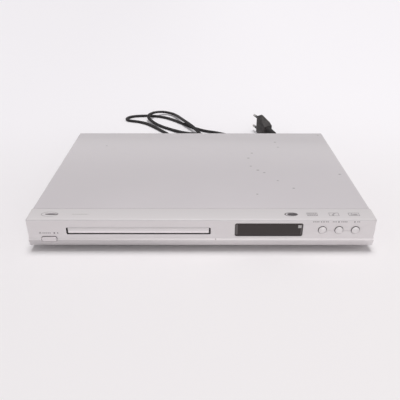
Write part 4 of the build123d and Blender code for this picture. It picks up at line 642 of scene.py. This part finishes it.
# ---- Mains lead ----
# The centre line, as in the part's source: LYING is its height on the floor, OVER where it crosses itself.
LYING = LEAD_THICK / 2
OVER = LYING + LEAD_THICK + 3.4
LEAD_ROUTE = [
    (-150.0, 147.4, 18.0), (-150.0, 164.0, 18.0), (-140.0, 181.0, 11.0),
    (-120.0, 190.0, 3.4), (-92.0, 183.0, LYING), (-54.0, 164.0, LYING), (-10.0, 146.0, LYING),
    (28.0, 138.0, LYING), (52.0, 141.0, LYING), (66.0, 154.0, LYING), (64.0, 173.0, 2.2),
    (46.0, 184.0, 4.0), (21.0, 190.0, OVER), (-5.0, 199.0, OVER), (-26.0, 217.0, 4.0),
    (-47.0, 237.0, LYING), (-68.0, 255.0, LYING), (-86.0, 274.0, 3.4), (-97.0, 290.0, OVER),
    (-90.0, 312.0, OVER), (-73.0, 331.0, 5.0), (-55.0, 326.0, 3.4), (-43.0, 306.0, 5.0),
    (-32.0, 272.0, OVER), (-14.0, 238.0, OVER), (2.0, 210.0, 2.4), (0.0, 187.0, LYING),
    (-18.0, 176.0, LYING), (-39.0, 190.0, LYING), (-54.0, 216.0, LYING), (-77.0, 248.0, LYING),
    (-97.0, 273.0, LYING), (-117.0, 284.0, LYING), (-131.0, 287.0, LYING), (-136.5, 298.0, LYING),
    (-130.0, 310.0, LYING), (-115.0, 315.0, LYING), (-90.0, 316.0, LYING), (-60.0, 304.0, LYING),
    (-29.0, 268.0, LYING), (0.0, 236.0, LYING), (31.0, 224.0, LYING), (51.0, 208.0, LYING),
    (70.0, 186.0, LYING), (80.0, 162.0, 3.0), (88.0, 145.0, 7.0), (99.0, 134.0, 11.5),
    (112.0, 132.0, 15.5), (121.5, 142.0, 17.65), (122.412, 159.752, 17.65), (117.453, 173.377, 17.65)]
CORE_STEPS = 9
ROUTE_DETAIL = 10


def curve_of(name, points, cyclic=False):
    """A closed outline with straight sides, or an open smooth route."""
    data = bpy.data.curves.new(name, "CURVE")
    data.dimensions = "3D"
    spline = data.splines.new("POLY" if cyclic else "NURBS")
    spline.points.add(len(points) - 1)
    for target, point in zip(spline.points, points):
        target.co = (point[0] * MM, point[1] * MM, point[2] * MM, 1.0)
    if cyclic:
        spline.use_cyclic_u = True
    else:
        spline.order_u = 3
        spline.use_endpoint_u = True
    spline.use_smooth = True
    piece = bpy.data.objects.new(name, data)
    bpy.context.scene.collection.objects.link(piece)
    return piece


def make_lead():
    """The flat twin lead: two round cores side by side in one jacket."""
    core = LEAD_THICK / 2
    offset = LEAD_WIDTH / 2 - core
    reach = math.acos(-offset / core)
    outline = []
    for side in (1, -1):
        for step in range(CORE_STEPS + 1):
            angle = side * reach * (2 * step / CORE_STEPS - 1)
            outline.append((side * (offset + core * math.cos(angle)), core * math.sin(angle), 0.0))
    section = curve_of("lead_section", outline, cyclic=True)
    section.hide_render = True
    section.hide_viewport = True
    made = curve_of("mains_lead", LEAD_ROUTE)
    made.data.resolution_u = ROUTE_DETAIL
    made.data.bevel_mode = "OBJECT"
    made.data.bevel_object = section
    made.data.twist_mode = "Z_UP"
    made.data.use_fill_caps = True
    dress(made, "cable_rubber")
    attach(made, "case")
    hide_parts("mains_cord")
    return made


lead = make_lead()


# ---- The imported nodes, and those whose edges are rounded ----
for node, piece in frame["nodes"].items():
    dress(piece, SLOT_OF[node])

# Width and segments of each node's rounding.
ROUNDING = {
    "front_bezel": (0.3, 3), "top_cover": (0.15, 2), "tray_door": (0.3, 3), "display_window": (0.2, 2),
    "power_button": (0.15, 2), "play_button": (0.25, 3), "stop_button": (0.25, 3), "eject_button": (0.25, 3),
    "disc_tray": (0.35, 2), "feet": (0.5, 3), "foot_pads": (0.3, 2), "scart_socket": (0.35, 2),
    "cord_gland": (0.4, 3),
}
OWN_FINISH = {
    # The door's lower band is lighter, as a painted reflection.
    "tray_door": lambda: bezel_finish("door_plastic", BEZEL_SILVER, bright_below=24.7),
    "power_button": lambda: bezel_finish("power_plastic", (0.74, 0.7, 0.712), dark_from=-128.3),
    "plug_body": lambda: plug_plastic("plug_plastic"),
}


def softened(node, width, segments, angle=40.0):
    """A copy of a CAD node with rounded edges, which stands for it."""
    piece = round_edges(merged_copy(node, f"{node}_finished"), width, segments, angle)
    dress(piece, SLOT_OF[node], OWN_FINISH[node]().material if node in OWN_FINISH else None)
    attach(piece, BODY_OF[node])
    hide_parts(node)
    return piece


for node, (width, segments) in ROUNDING.items():
    softened(node, width, segments)


# ---- Printed marks: plain generic symbols ----
INK = print_ink("grey_print", (0.28, 0.26, 0.27)).material
DARK_INK = print_ink("dark_print", (0.085, 0.075, 0.08)).material
PALE_INK = print_ink("pale_print", (0.5, 0.48, 0.48)).material

# How far a mark stands out of the face and reaches into it, and half the thickness of one on the strip.
MARK_OUT, MARK_IN = 0.08, 0.05
MARK_HALF = 0.04
MARK_EDGE = 0.03

# Signs above the round buttons: the buttons' places across, and the broken rules beside the signs.
LEGEND_Z = 35.2
PLAY_X, STOP_X, EJECT_X = 124.0, 140.9, 158.0
PLAY_RULES = ((114.2, 121.2), (127.4, 131.0))
STOP_RULES = ((134.4, 139.2), (142.9, 149.9))
EJECT_RULE = (159.4, 162.8)
DASH_PITCH, DASH_GAP, DASH_HIGH = 1.7, 0.45, 0.9

# Signs above the power button.
POWER_Z = 21.6
POWER_SIGN_X = -166.9
POWER_RULE = (-164.9, -155.7)
PRESSED_X, RELEASED_X = -152.3, -148.8

# Pictograms and the badge on the strip.
STRIP_MARK_Y = -117.6
DISC_X, FILM_X, NOTE_X, PICTURE_X = 93.4, 115.3, 137.9, 158.7
FILM_PITCH, FILM_ROW = 1.9, 1.8
BADGE_X, BADGE_FIELD_X, BADGE_LINE_X = -157.6, -155.7, -126.0

# Opposite corners of the pale tile in the window.
TILE_LOW, TILE_HIGH = (99.9, -127.8, 27.6), (103.3, -127.6, 31.0)


def tile(name, middle, size):
    """A thin printed patch on the bezel's face."""
    (x, z), (wide, high) = middle, size
    patch = block(name, (x - wide / 2, FACE_Y - MARK_OUT, z - high / 2),
                  (x + wide / 2, FACE_Y + MARK_IN, z + high / 2))
    return round_edges(patch, MARK_EDGE, 1)


def arrow(name, middle, size, turn):
    """A thin triangle on the bezel's face; turned 0 it points up."""
    mark = moved(wedge(name, size, 0.13), (middle[0], FACE_Y - 0.015, middle[1]), (0.0, turn, 0.0))
    return round_edges(mark, MARK_EDGE, 1)


def dashes(name, start, end, z):
    """A broken rule between two places across, on the bezel's face."""
    count = max(1, round((end - start) / DASH_PITCH))
    pitch = (end - start) / count
    first = tile(name, (start + pitch / 2, z), (pitch - DASH_GAP, DASH_HIGH))
    return repeated(first, [(pitch * step, 0.0, 0.0) for step in range(1, count)])


def flat_ring(name, outer, inner, squash=1.0, middle=(0.0, 0.0)):
    """A thin ring that lies flat at the origin, or beside it."""
    profile = [(inner, -MARK_HALF), (outer, -MARK_HALF), (outer, MARK_HALF), (inner, MARK_HALF)]
    ring = turned(name, profile, (0.0, 0.0, 0.0), "Z", 40)
    ring.scale = (1.0, squash, 1.0)
    return moved(fix_place(ring), (*middle, 0.0))


def flat_frame(name, wide, deep, line):
    """A thin rectangular outline that lies flat at the origin."""
    plate = block(name, (-wide / 2, -deep / 2, -MARK_HALF), (wide / 2, deep / 2, MARK_HALF))
    hole = block("hole", (line - wide / 2, line - deep / 2, -1.0), (wide / 2 - line, deep / 2 - line, 1.0))
    return cut_out(plate, hole)


def flat_bar(name, middle, size):
    """A thin bar that lies flat at the origin, or beside it."""
    (x, y), (wide, deep) = middle, size
    bar = block(name, (x - wide / 2, y - deep / 2, -MARK_HALF), (x + wide / 2, y + deep / 2, MARK_HALF))
    return round_edges(bar, 0.02, 1)


def on_strip(pieces, x):
    """Lays flat pieces on the bezel's sloping top strip, at a place across."""
    slope = STRIP_FALL / (STRIP_BACK - FACE_Y)
    height = STRIP_TOP - slope * (STRIP_BACK - STRIP_MARK_Y) + 0.03
    return [moved(piece, (x, STRIP_MARK_Y, height), (math.atan(slope), 0.0, 0.0)) for piece in pieces]


def printed(name, pieces, ink):
    """Joins pieces as one set of marks in one ink, fixed to the case."""
    marks = dress(joined(name, pieces), "chip_plastic", ink)
    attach(marks, "case")


def button_legends():
    """Play and pause, stop, and open or close, above the round buttons."""
    play = [arrow("play_arrow", (PLAY_X - 0.9, LEGEND_Z), 1.05, math.pi / 2)]
    play += repeated(tile("pause_bar", (PLAY_X + 1.0, LEGEND_Z), (0.5, 1.5)), [(1.0, 0.0, 0.0)])
    for start, end in PLAY_RULES:
        play += dashes("play_rule", start, end, LEGEND_Z)
    stop = [tile("stop_square", (STOP_X, LEGEND_Z), (1.5, 1.5))]
    for start, end in STOP_RULES:
        stop += dashes("stop_rule", start, end, LEGEND_Z)
    eject = [arrow("eject_arrow", (EJECT_X - 0.8, LEGEND_Z + 0.3), 1.0, 0.0),
             tile("eject_bar", (EJECT_X - 0.8, LEGEND_Z - 0.75), (1.7, 0.4))]
    eject += dashes("eject_rule", *EJECT_RULE, LEGEND_Z)
    printed("button_legends", play + stop + eject, INK)


def power_legend():
    """The standard power sign with the in and out marks of the latching button."""
    ring = moved(flat_ring("power_ring", 1.1, 0.7), (POWER_SIGN_X, FACE_Y - 0.02, POWER_Z),
                 (math.pi / 2, 0.0, 0.0))
    stem = tile("power_stem", (POWER_SIGN_X, POWER_Z + 0.8), (0.4, 1.3))
    released = tile("power_out", (RELEASED_X, POWER_Z), (1.1, 1.4))
    printed("power_legend", [ring, stem, released] + dashes("power_rule", *POWER_RULE, POWER_Z), INK)
    printed("power_in_mark", [tile("power_in", (PRESSED_X, POWER_Z), (1.5, 1.3))], DARK_INK)


def strip_marks():
    """Four plain pictograms on the strip, right: a disc, a film, a note and a picture."""
    disc = [flat_ring("disc_outer", 7.0, 5.7, 0.5), flat_ring("disc_inner", 4.9, 0.8, 0.5, (0.8, 0.0)),
            flat_bar("disc_flag", (1.4, 0.0), (9.0, 1.3))]
    hole = flat_bar("film_hole", (-2 * FILM_PITCH, -FILM_ROW), (1.2, 0.9))
    film = [flat_frame("film_edge", 11.0, 6.0, 0.6), flat_bar("film_frame", (0.0, 0.0), (8.4, 0.9))]
    film += repeated(hole, [(FILM_PITCH * step, rise, 0.0) for step in range(5)
                            for rise in (0.0, 2 * FILM_ROW) if step or rise])
    note = [flat_frame("note_edge", 10.4, 6.0, 0.55), flat_ring("note_head", 1.3, 0.1, 0.8, (-1.2, -1.1)),
            flat_bar("note_stem", (-0.2, 0.4), (0.5, 3.2)), flat_bar("note_flag", (0.8, 1.7), (2.4, 0.7))]
    picture = [flat_frame("picture_edge", 11.4, 6.0, 0.6), flat_bar("picture_ground", (0.0, -1.2), (7.6, 1.2)),
               flat_bar("picture_hills", (1.4, 0.3), (4.0, 1.0)),
               flat_ring("picture_sun", 0.9, 0.1, 0.8, (-2.2, 1.0))]
    printed("disc_pictogram", on_strip(disc, DISC_X), DARK_INK)
    media = on_strip(film, FILM_X) + on_strip(note, NOTE_X) + on_strip(picture, PICTURE_X)
    printed("media_pictograms", media, INK)


def oval_badge():
    """The blank oval badge at the left of the strip, with a plain line beside it."""
    printed("oval_badge", on_strip([flat_ring("badge_rim", 9.0, 8.3, 0.48)], BADGE_X), INK)
    printed("badge_field", on_strip([flat_ring("badge_oval", 6.8, 0.6, 0.2)], BADGE_FIELD_X), DARK_INK)
    printed("badge_line", on_strip([flat_bar("badge_rule", (0.0, 0.0), (16.6, 1.3))], BADGE_LINE_X), PALE_INK)


def display_tile():
    """The small pale square at the window's upper right corner."""
    pane = round_edges(block("display_tile", TILE_LOW, TILE_HIGH), 0.06)
    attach(dress(pane, "white_plastic", PALE_INK), "case")


button_legends()
power_legend()
strip_marks()
oval_badge()
display_tile()


# ---- Plug and lead ends ----
# The pin sleeves' profile, and how the ribs of the tails stand out of them.
SLEEVE = [(1.7, -0.4), (2.12, -0.4), (2.12, 9.6), (2.0, 10.0), (1.7, 10.0)]
RIB_OUT, RIB_ROOT, RIB_UNDER = 0.55, 0.1, 0.6
PLUG_EDGE, PLUG_EDGE_ANGLE = 0.9, 20.0


def placed_on_plug(piece):
    """Puts a piece that was made about the pin face's middle in its place on the plug."""
    return moved(piece, PLUG_FACE, (0.0, 0.0, math.radians(PLUG_TURN)))


def pin_sleeves():
    """The dark insulating sleeves on the roots of the two pins."""
    sleeve = turned("pin_sleeve", SLEEVE, (0.0, 0.0, -PIN_HALF_SPACING), "Y", 32)
    both = joined("pin_sleeves", repeated(sleeve, [(0.0, 0.0, 2 * PIN_HALF_SPACING)]))
    dress(placed_on_plug(both), "black_plastic")
    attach(both, "case")
    return both


def ribbed_tail(name, start_radius, end_radius, length, count):
    """Flexible ribs round a tapered tail, from its thin end at the origin along the Y axis."""
    pitch = length / count
    profile = [(end_radius - RIB_UNDER, 0.0)]
    for rib in range(count):
        near_end = rib * pitch
        radius = end_radius + (start_radius - end_radius) * (near_end + pitch / 2) / length
        profile += [(radius + RIB_ROOT, near_end), (radius + RIB_OUT, near_end + pitch * 0.2),
                    (radius + RIB_OUT, near_end + pitch * 0.6), (radius + RIB_ROOT, near_end + pitch * 0.8)]
    profile.append((start_radius - RIB_UNDER, length))
    return dress(turned(name, profile, (0.0, 0.0, 0.0), "Y", 40), "cable_rubber")


def plug_tail():
    """The ribs of the strain relief behind the plug."""
    ribs = ribbed_tail("plug_tail_ribs", 4.9, 3.5, 20.0, 7)
    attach(placed_on_plug(moved(ribs, (0.0, 0.5 - PLUG_REACH, 0.0))), "case")
    return ribs


def gland_tail():
    """The ribs of the strain relief at the rear panel."""
    ribs = ribbed_tail("gland_tail_ribs", 4.6, 3.8, 18.0, 6)
    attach(moved(ribs, (GLAND[0], GLAND_END - 0.5, GLAND[2]), (0.0, 0.0, math.pi)), "case")


PIN_METAL = sheet_metal("pin_metal", (0.36, 0.35, 0.34), 0.42, streaks=(300.0, 300.0, 40.0)).material
pins = dress(frame["nodes"]["plug_pins"], SLOT_OF["plug_pins"], PIN_METAL)
plug_pieces = [pins, pin_sleeves(), softened("plug_body", PLUG_EDGE, 3, PLUG_EDGE_ANGLE), plug_tail()]
gland_tail()


# ---- Small pieces at the back and sides ----
# The faces of the screw heads on the cover's sides and rear edge, and the cross cut in each.
SIDE_SCREW_X, SIDE_SCREW_YS, SIDE_SCREW_Z = 179.9, (-68.0, 62.0), 20.3
REAR_SCREW_XS, REAR_SCREW_Y, REAR_SCREW_Z = (-120.0, 0.0, 158.0), 123.6, 35.1
COVER_SCREWS = [(side * SIDE_SCREW_X, y, SIDE_SCREW_Z, "X") for side in (-1, 1) for y in SIDE_SCREW_YS]
COVER_SCREWS += [(x, REAR_SCREW_Y, REAR_SCREW_Z, "Y") for x in REAR_SCREW_XS]
CROSS_LONG, CROSS_WIDE, CROSS_HALF_DEPTH = 3.4, 0.7, 0.5

# The phono rings' colours, and their profile round the socket's barrel.
RING_COLOURS = {"yellow_ring": (0.7, 0.5, 0.03), "white_ring": (0.75, 0.75, 0.72),
                "red_ring": (0.55, 0.03, 0.03), "orange_ring": (0.7, 0.22, 0.02)}
RING_BORE = PHONO_RADIUS + 0.02
RING = [(RING_BORE, 0.0), (PHONO_RADIUS + 1.3, 0.0), (PHONO_RADIUS + 1.3, 0.5), (PHONO_RADIUS + 1.0, 0.8),
        (RING_BORE, 0.8)]

# The 21-way socket's contacts: each row's start is to the left of the socket's middle.
CONTACTS_IN_ROW, CONTACT_PITCH, CONTACT_RISE, CONTACTS_START = 10, 3.8, 2.6, 17.1
CONTACT_WIDE, CONTACT_HIGH = 0.7, 2.0

# Opposite corners of the two labels.
REAR_LABEL = ((-36.0, 120.85, 13.0), (20.0, 121.0, 31.0))
BASE_LABEL = ((-60.0, 20.0, BASE_Z - 0.12), (10.0, 60.0, BASE_Z + 0.02))


def crossed_heads():
    """The cover screws with a cross recess in each head."""
    screws = merged_copy("cover_screws", "cover_screws_finished")
    for *place, axis in COVER_SCREWS:
        for across, up in ((CROSS_LONG, CROSS_WIDE), (CROSS_WIDE, CROSS_LONG)):
            reach = [across / 2, CROSS_HALF_DEPTH, up / 2]
            if axis == "X":
                reach = [CROSS_HALF_DEPTH, across / 2, up / 2]
            low = [middle - half for middle, half in zip(place, reach)]
            high = [middle + half for middle, half in zip(place, reach)]
            cut_out(screws, block("cross", low, high))
    round_edges(screws, 0.08, 2)
    dress(screws, "screw_steel")
    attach(screws, "case")
    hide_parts("cover_screws")


def phono_rings():
    """The coloured insulating rings round the phono sockets."""
    first = turned("phono_ring", RING, (PHONO_XS[0], PHONO_FACE, PHONO_Z), "Y", 48)
    rings = repeated(first, [(x - PHONO_XS[0], 0.0, 0.0) for x in PHONO_XS[1:]])
    for ring, (name, colour) in zip(rings, RING_COLOURS.items()):
        dress(named(ring, name), "black_plastic", moulded(f"{name}_plastic", colour, 0.4, 0.2, 0.06).material)
        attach(ring, "case")


def socket_contacts():
    """Two rows of contacts on the floor of the 21-way socket's mouth."""
    x, z = SCART_X - CONTACTS_START, SCART_Z - CONTACT_RISE
    first = block("contact", (x - CONTACT_WIDE / 2, SCART_FLOOR - 0.02, z - CONTACT_HIGH / 2),
                  (x + CONTACT_WIDE / 2, SCART_FLOOR + 0.08, z + CONTACT_HIGH / 2))
    contacts = repeated(round_edges(first, 0.03, 1),
                        [(CONTACT_PITCH * step, 0.0, rise) for rise in (0.0, 2 * CONTACT_RISE)
                         for step in range(CONTACTS_IN_ROW) if step or rise])
    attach(dress(joined("socket_contacts", contacts), "bright_steel"), "case")


def blank_labels():
    """Blank labels: one on the back panel, one under the base."""
    paper = moulded("label_paper", (0.72, 0.72, 0.7), 0.5, 0.3, 0.05).material
    for name, corners in (("rear_label", REAR_LABEL), ("base_label", BASE_LABEL)):
        label = dress(round_edges(block(name, *corners), 0.04, 1), "white_plastic", paper)
        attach(label, "case")


crossed_heads()
phono_rings()
socket_contacts()
blank_labels()


# ---- Floor and light, in metres ----
FLOOR_SIZE = 40.0
FLOOR_Z = -0.0002
# The floor's colours: painted light makes it paler toward the back, and painted shade darkens it toward the
# left.
FLOOR_FRONT = (0.92, 0.892, 0.9)
FLOOR_BACK_LIGHT = (0.96, 0.94, 0.965)
FLOOR_LEFT_SHADE = (0.85, 0.83, 0.85)
BACKDROP_LIFT = (0.045, 0.045, 0.05)
ROOM_COLOUR = (1.0, 0.98, 0.985)
ROOM_LEVEL, SEEN_LEVEL = 0.4, 0.88


def make_floor():
    """A pale floor, painted lighter toward the back and with painted shade toward the left; the camera sees
    its far part lifted toward white, as a backdrop.
    """
    bpy.ops.object.select_all(action="DESELECT")
    bpy.ops.mesh.primitive_plane_add(size=FLOOR_SIZE, location=(0.0, 0.0, FLOOR_Z))
    floor = fix_place(named(bpy.context.object, "floor"))
    finish = Finish("floor_paper")
    # Painted light toward the back, and painted shade toward the left.
    back = finish.fade(finish.y, -0.3, 0.5)
    left = finish.fade(finish.x, 0.35, -0.45)
    front_tone = finish.shift(FLOOR_FRONT, 0.005, finish.noise(1.2, 2.0))
    white = finish.mix(back, front_tone, toned(FLOOR_BACK_LIGHT))
    seen = finish.node("ShaderNodeLightPath", output="Is Camera Ray")
    lift = finish.fade(finish.y, -0.05, 0.3) * seen
    finish.set(Base_Color=finish.mix(left * 0.5, white, toned(FLOOR_LEFT_SHADE)),
               Emission_Color=finish.mix(lift, toned((0.0, 0.0, 0.0)), toned(BACKDROP_LIFT)),
               Emission_Strength=1.0, Roughness=0.9, Specular_IOR_Level=0.1)
    floor.data.materials.append(finish.material)


def make_sun(name, elevation, azimuth, level, spread):
    """A distant soft lamp; level 1 lights a facing white surface to white."""
    lamp = bpy.data.lights.new(name, "SUN")
    lamp.energy = level * math.pi
    lamp.angle = math.radians(spread)
    up, about = math.radians(elevation), math.radians(azimuth)
    direction = Vector((math.sin(about) * math.cos(up), -math.cos(about) * math.cos(up), math.sin(up)))
    light = bpy.data.objects.new(name, lamp)
    light.rotation_euler = direction.to_track_quat("Z", "Y").to_euler()
    bpy.context.scene.collection.objects.link(light)


def make_softbox(name, place, aim, size, level):
    """A square softbox; level 1 lights a facing white surface at the aim to white."""
    lamp = bpy.data.lights.new(name, "AREA")
    lamp.size = size
    offset = Vector(place) - Vector(aim)
    lamp.energy = level * math.pi ** 2 * offset.length_squared
    light = bpy.data.objects.new(name, lamp)
    light.location = place
    light.rotation_euler = offset.to_track_quat("Z", "Y").to_euler()
    bpy.context.scene.collection.objects.link(light)


def make_room():
    """Even light from all round; the camera and mirror rays see it paler, as a backdrop."""
    world = bpy.data.worlds.new("studio")
    bpy.context.scene.world = world
    world.use_nodes = True
    room = Builder(world.node_tree)
    background = world.node_tree.nodes["Background"]
    direct, glossy, through = (room.node("ShaderNodeLightPath", output=f"Is {kind} Ray")
                               for kind in ("Camera", "Glossy", "Transmission"))
    seen = direct.or_more(glossy.or_more(through))
    room.feed(background.inputs["Color"], toned(ROOM_COLOUR))
    room.feed(background.inputs["Strength"], ROOM_LEVEL + (SEEN_LEVEL - ROOM_LEVEL) * seen)


make_floor()
make_sun("overhead", elevation=83.0, azimuth=170.0, level=0.51, spread=22.0)
make_softbox("front_softbox", place=(1.2, -3.46, 1.0), aim=(0.0, -0.1, 0.0), size=1.9, level=0.145)
make_room()
bpy.context.scene.view_settings.view_transform = "Standard"
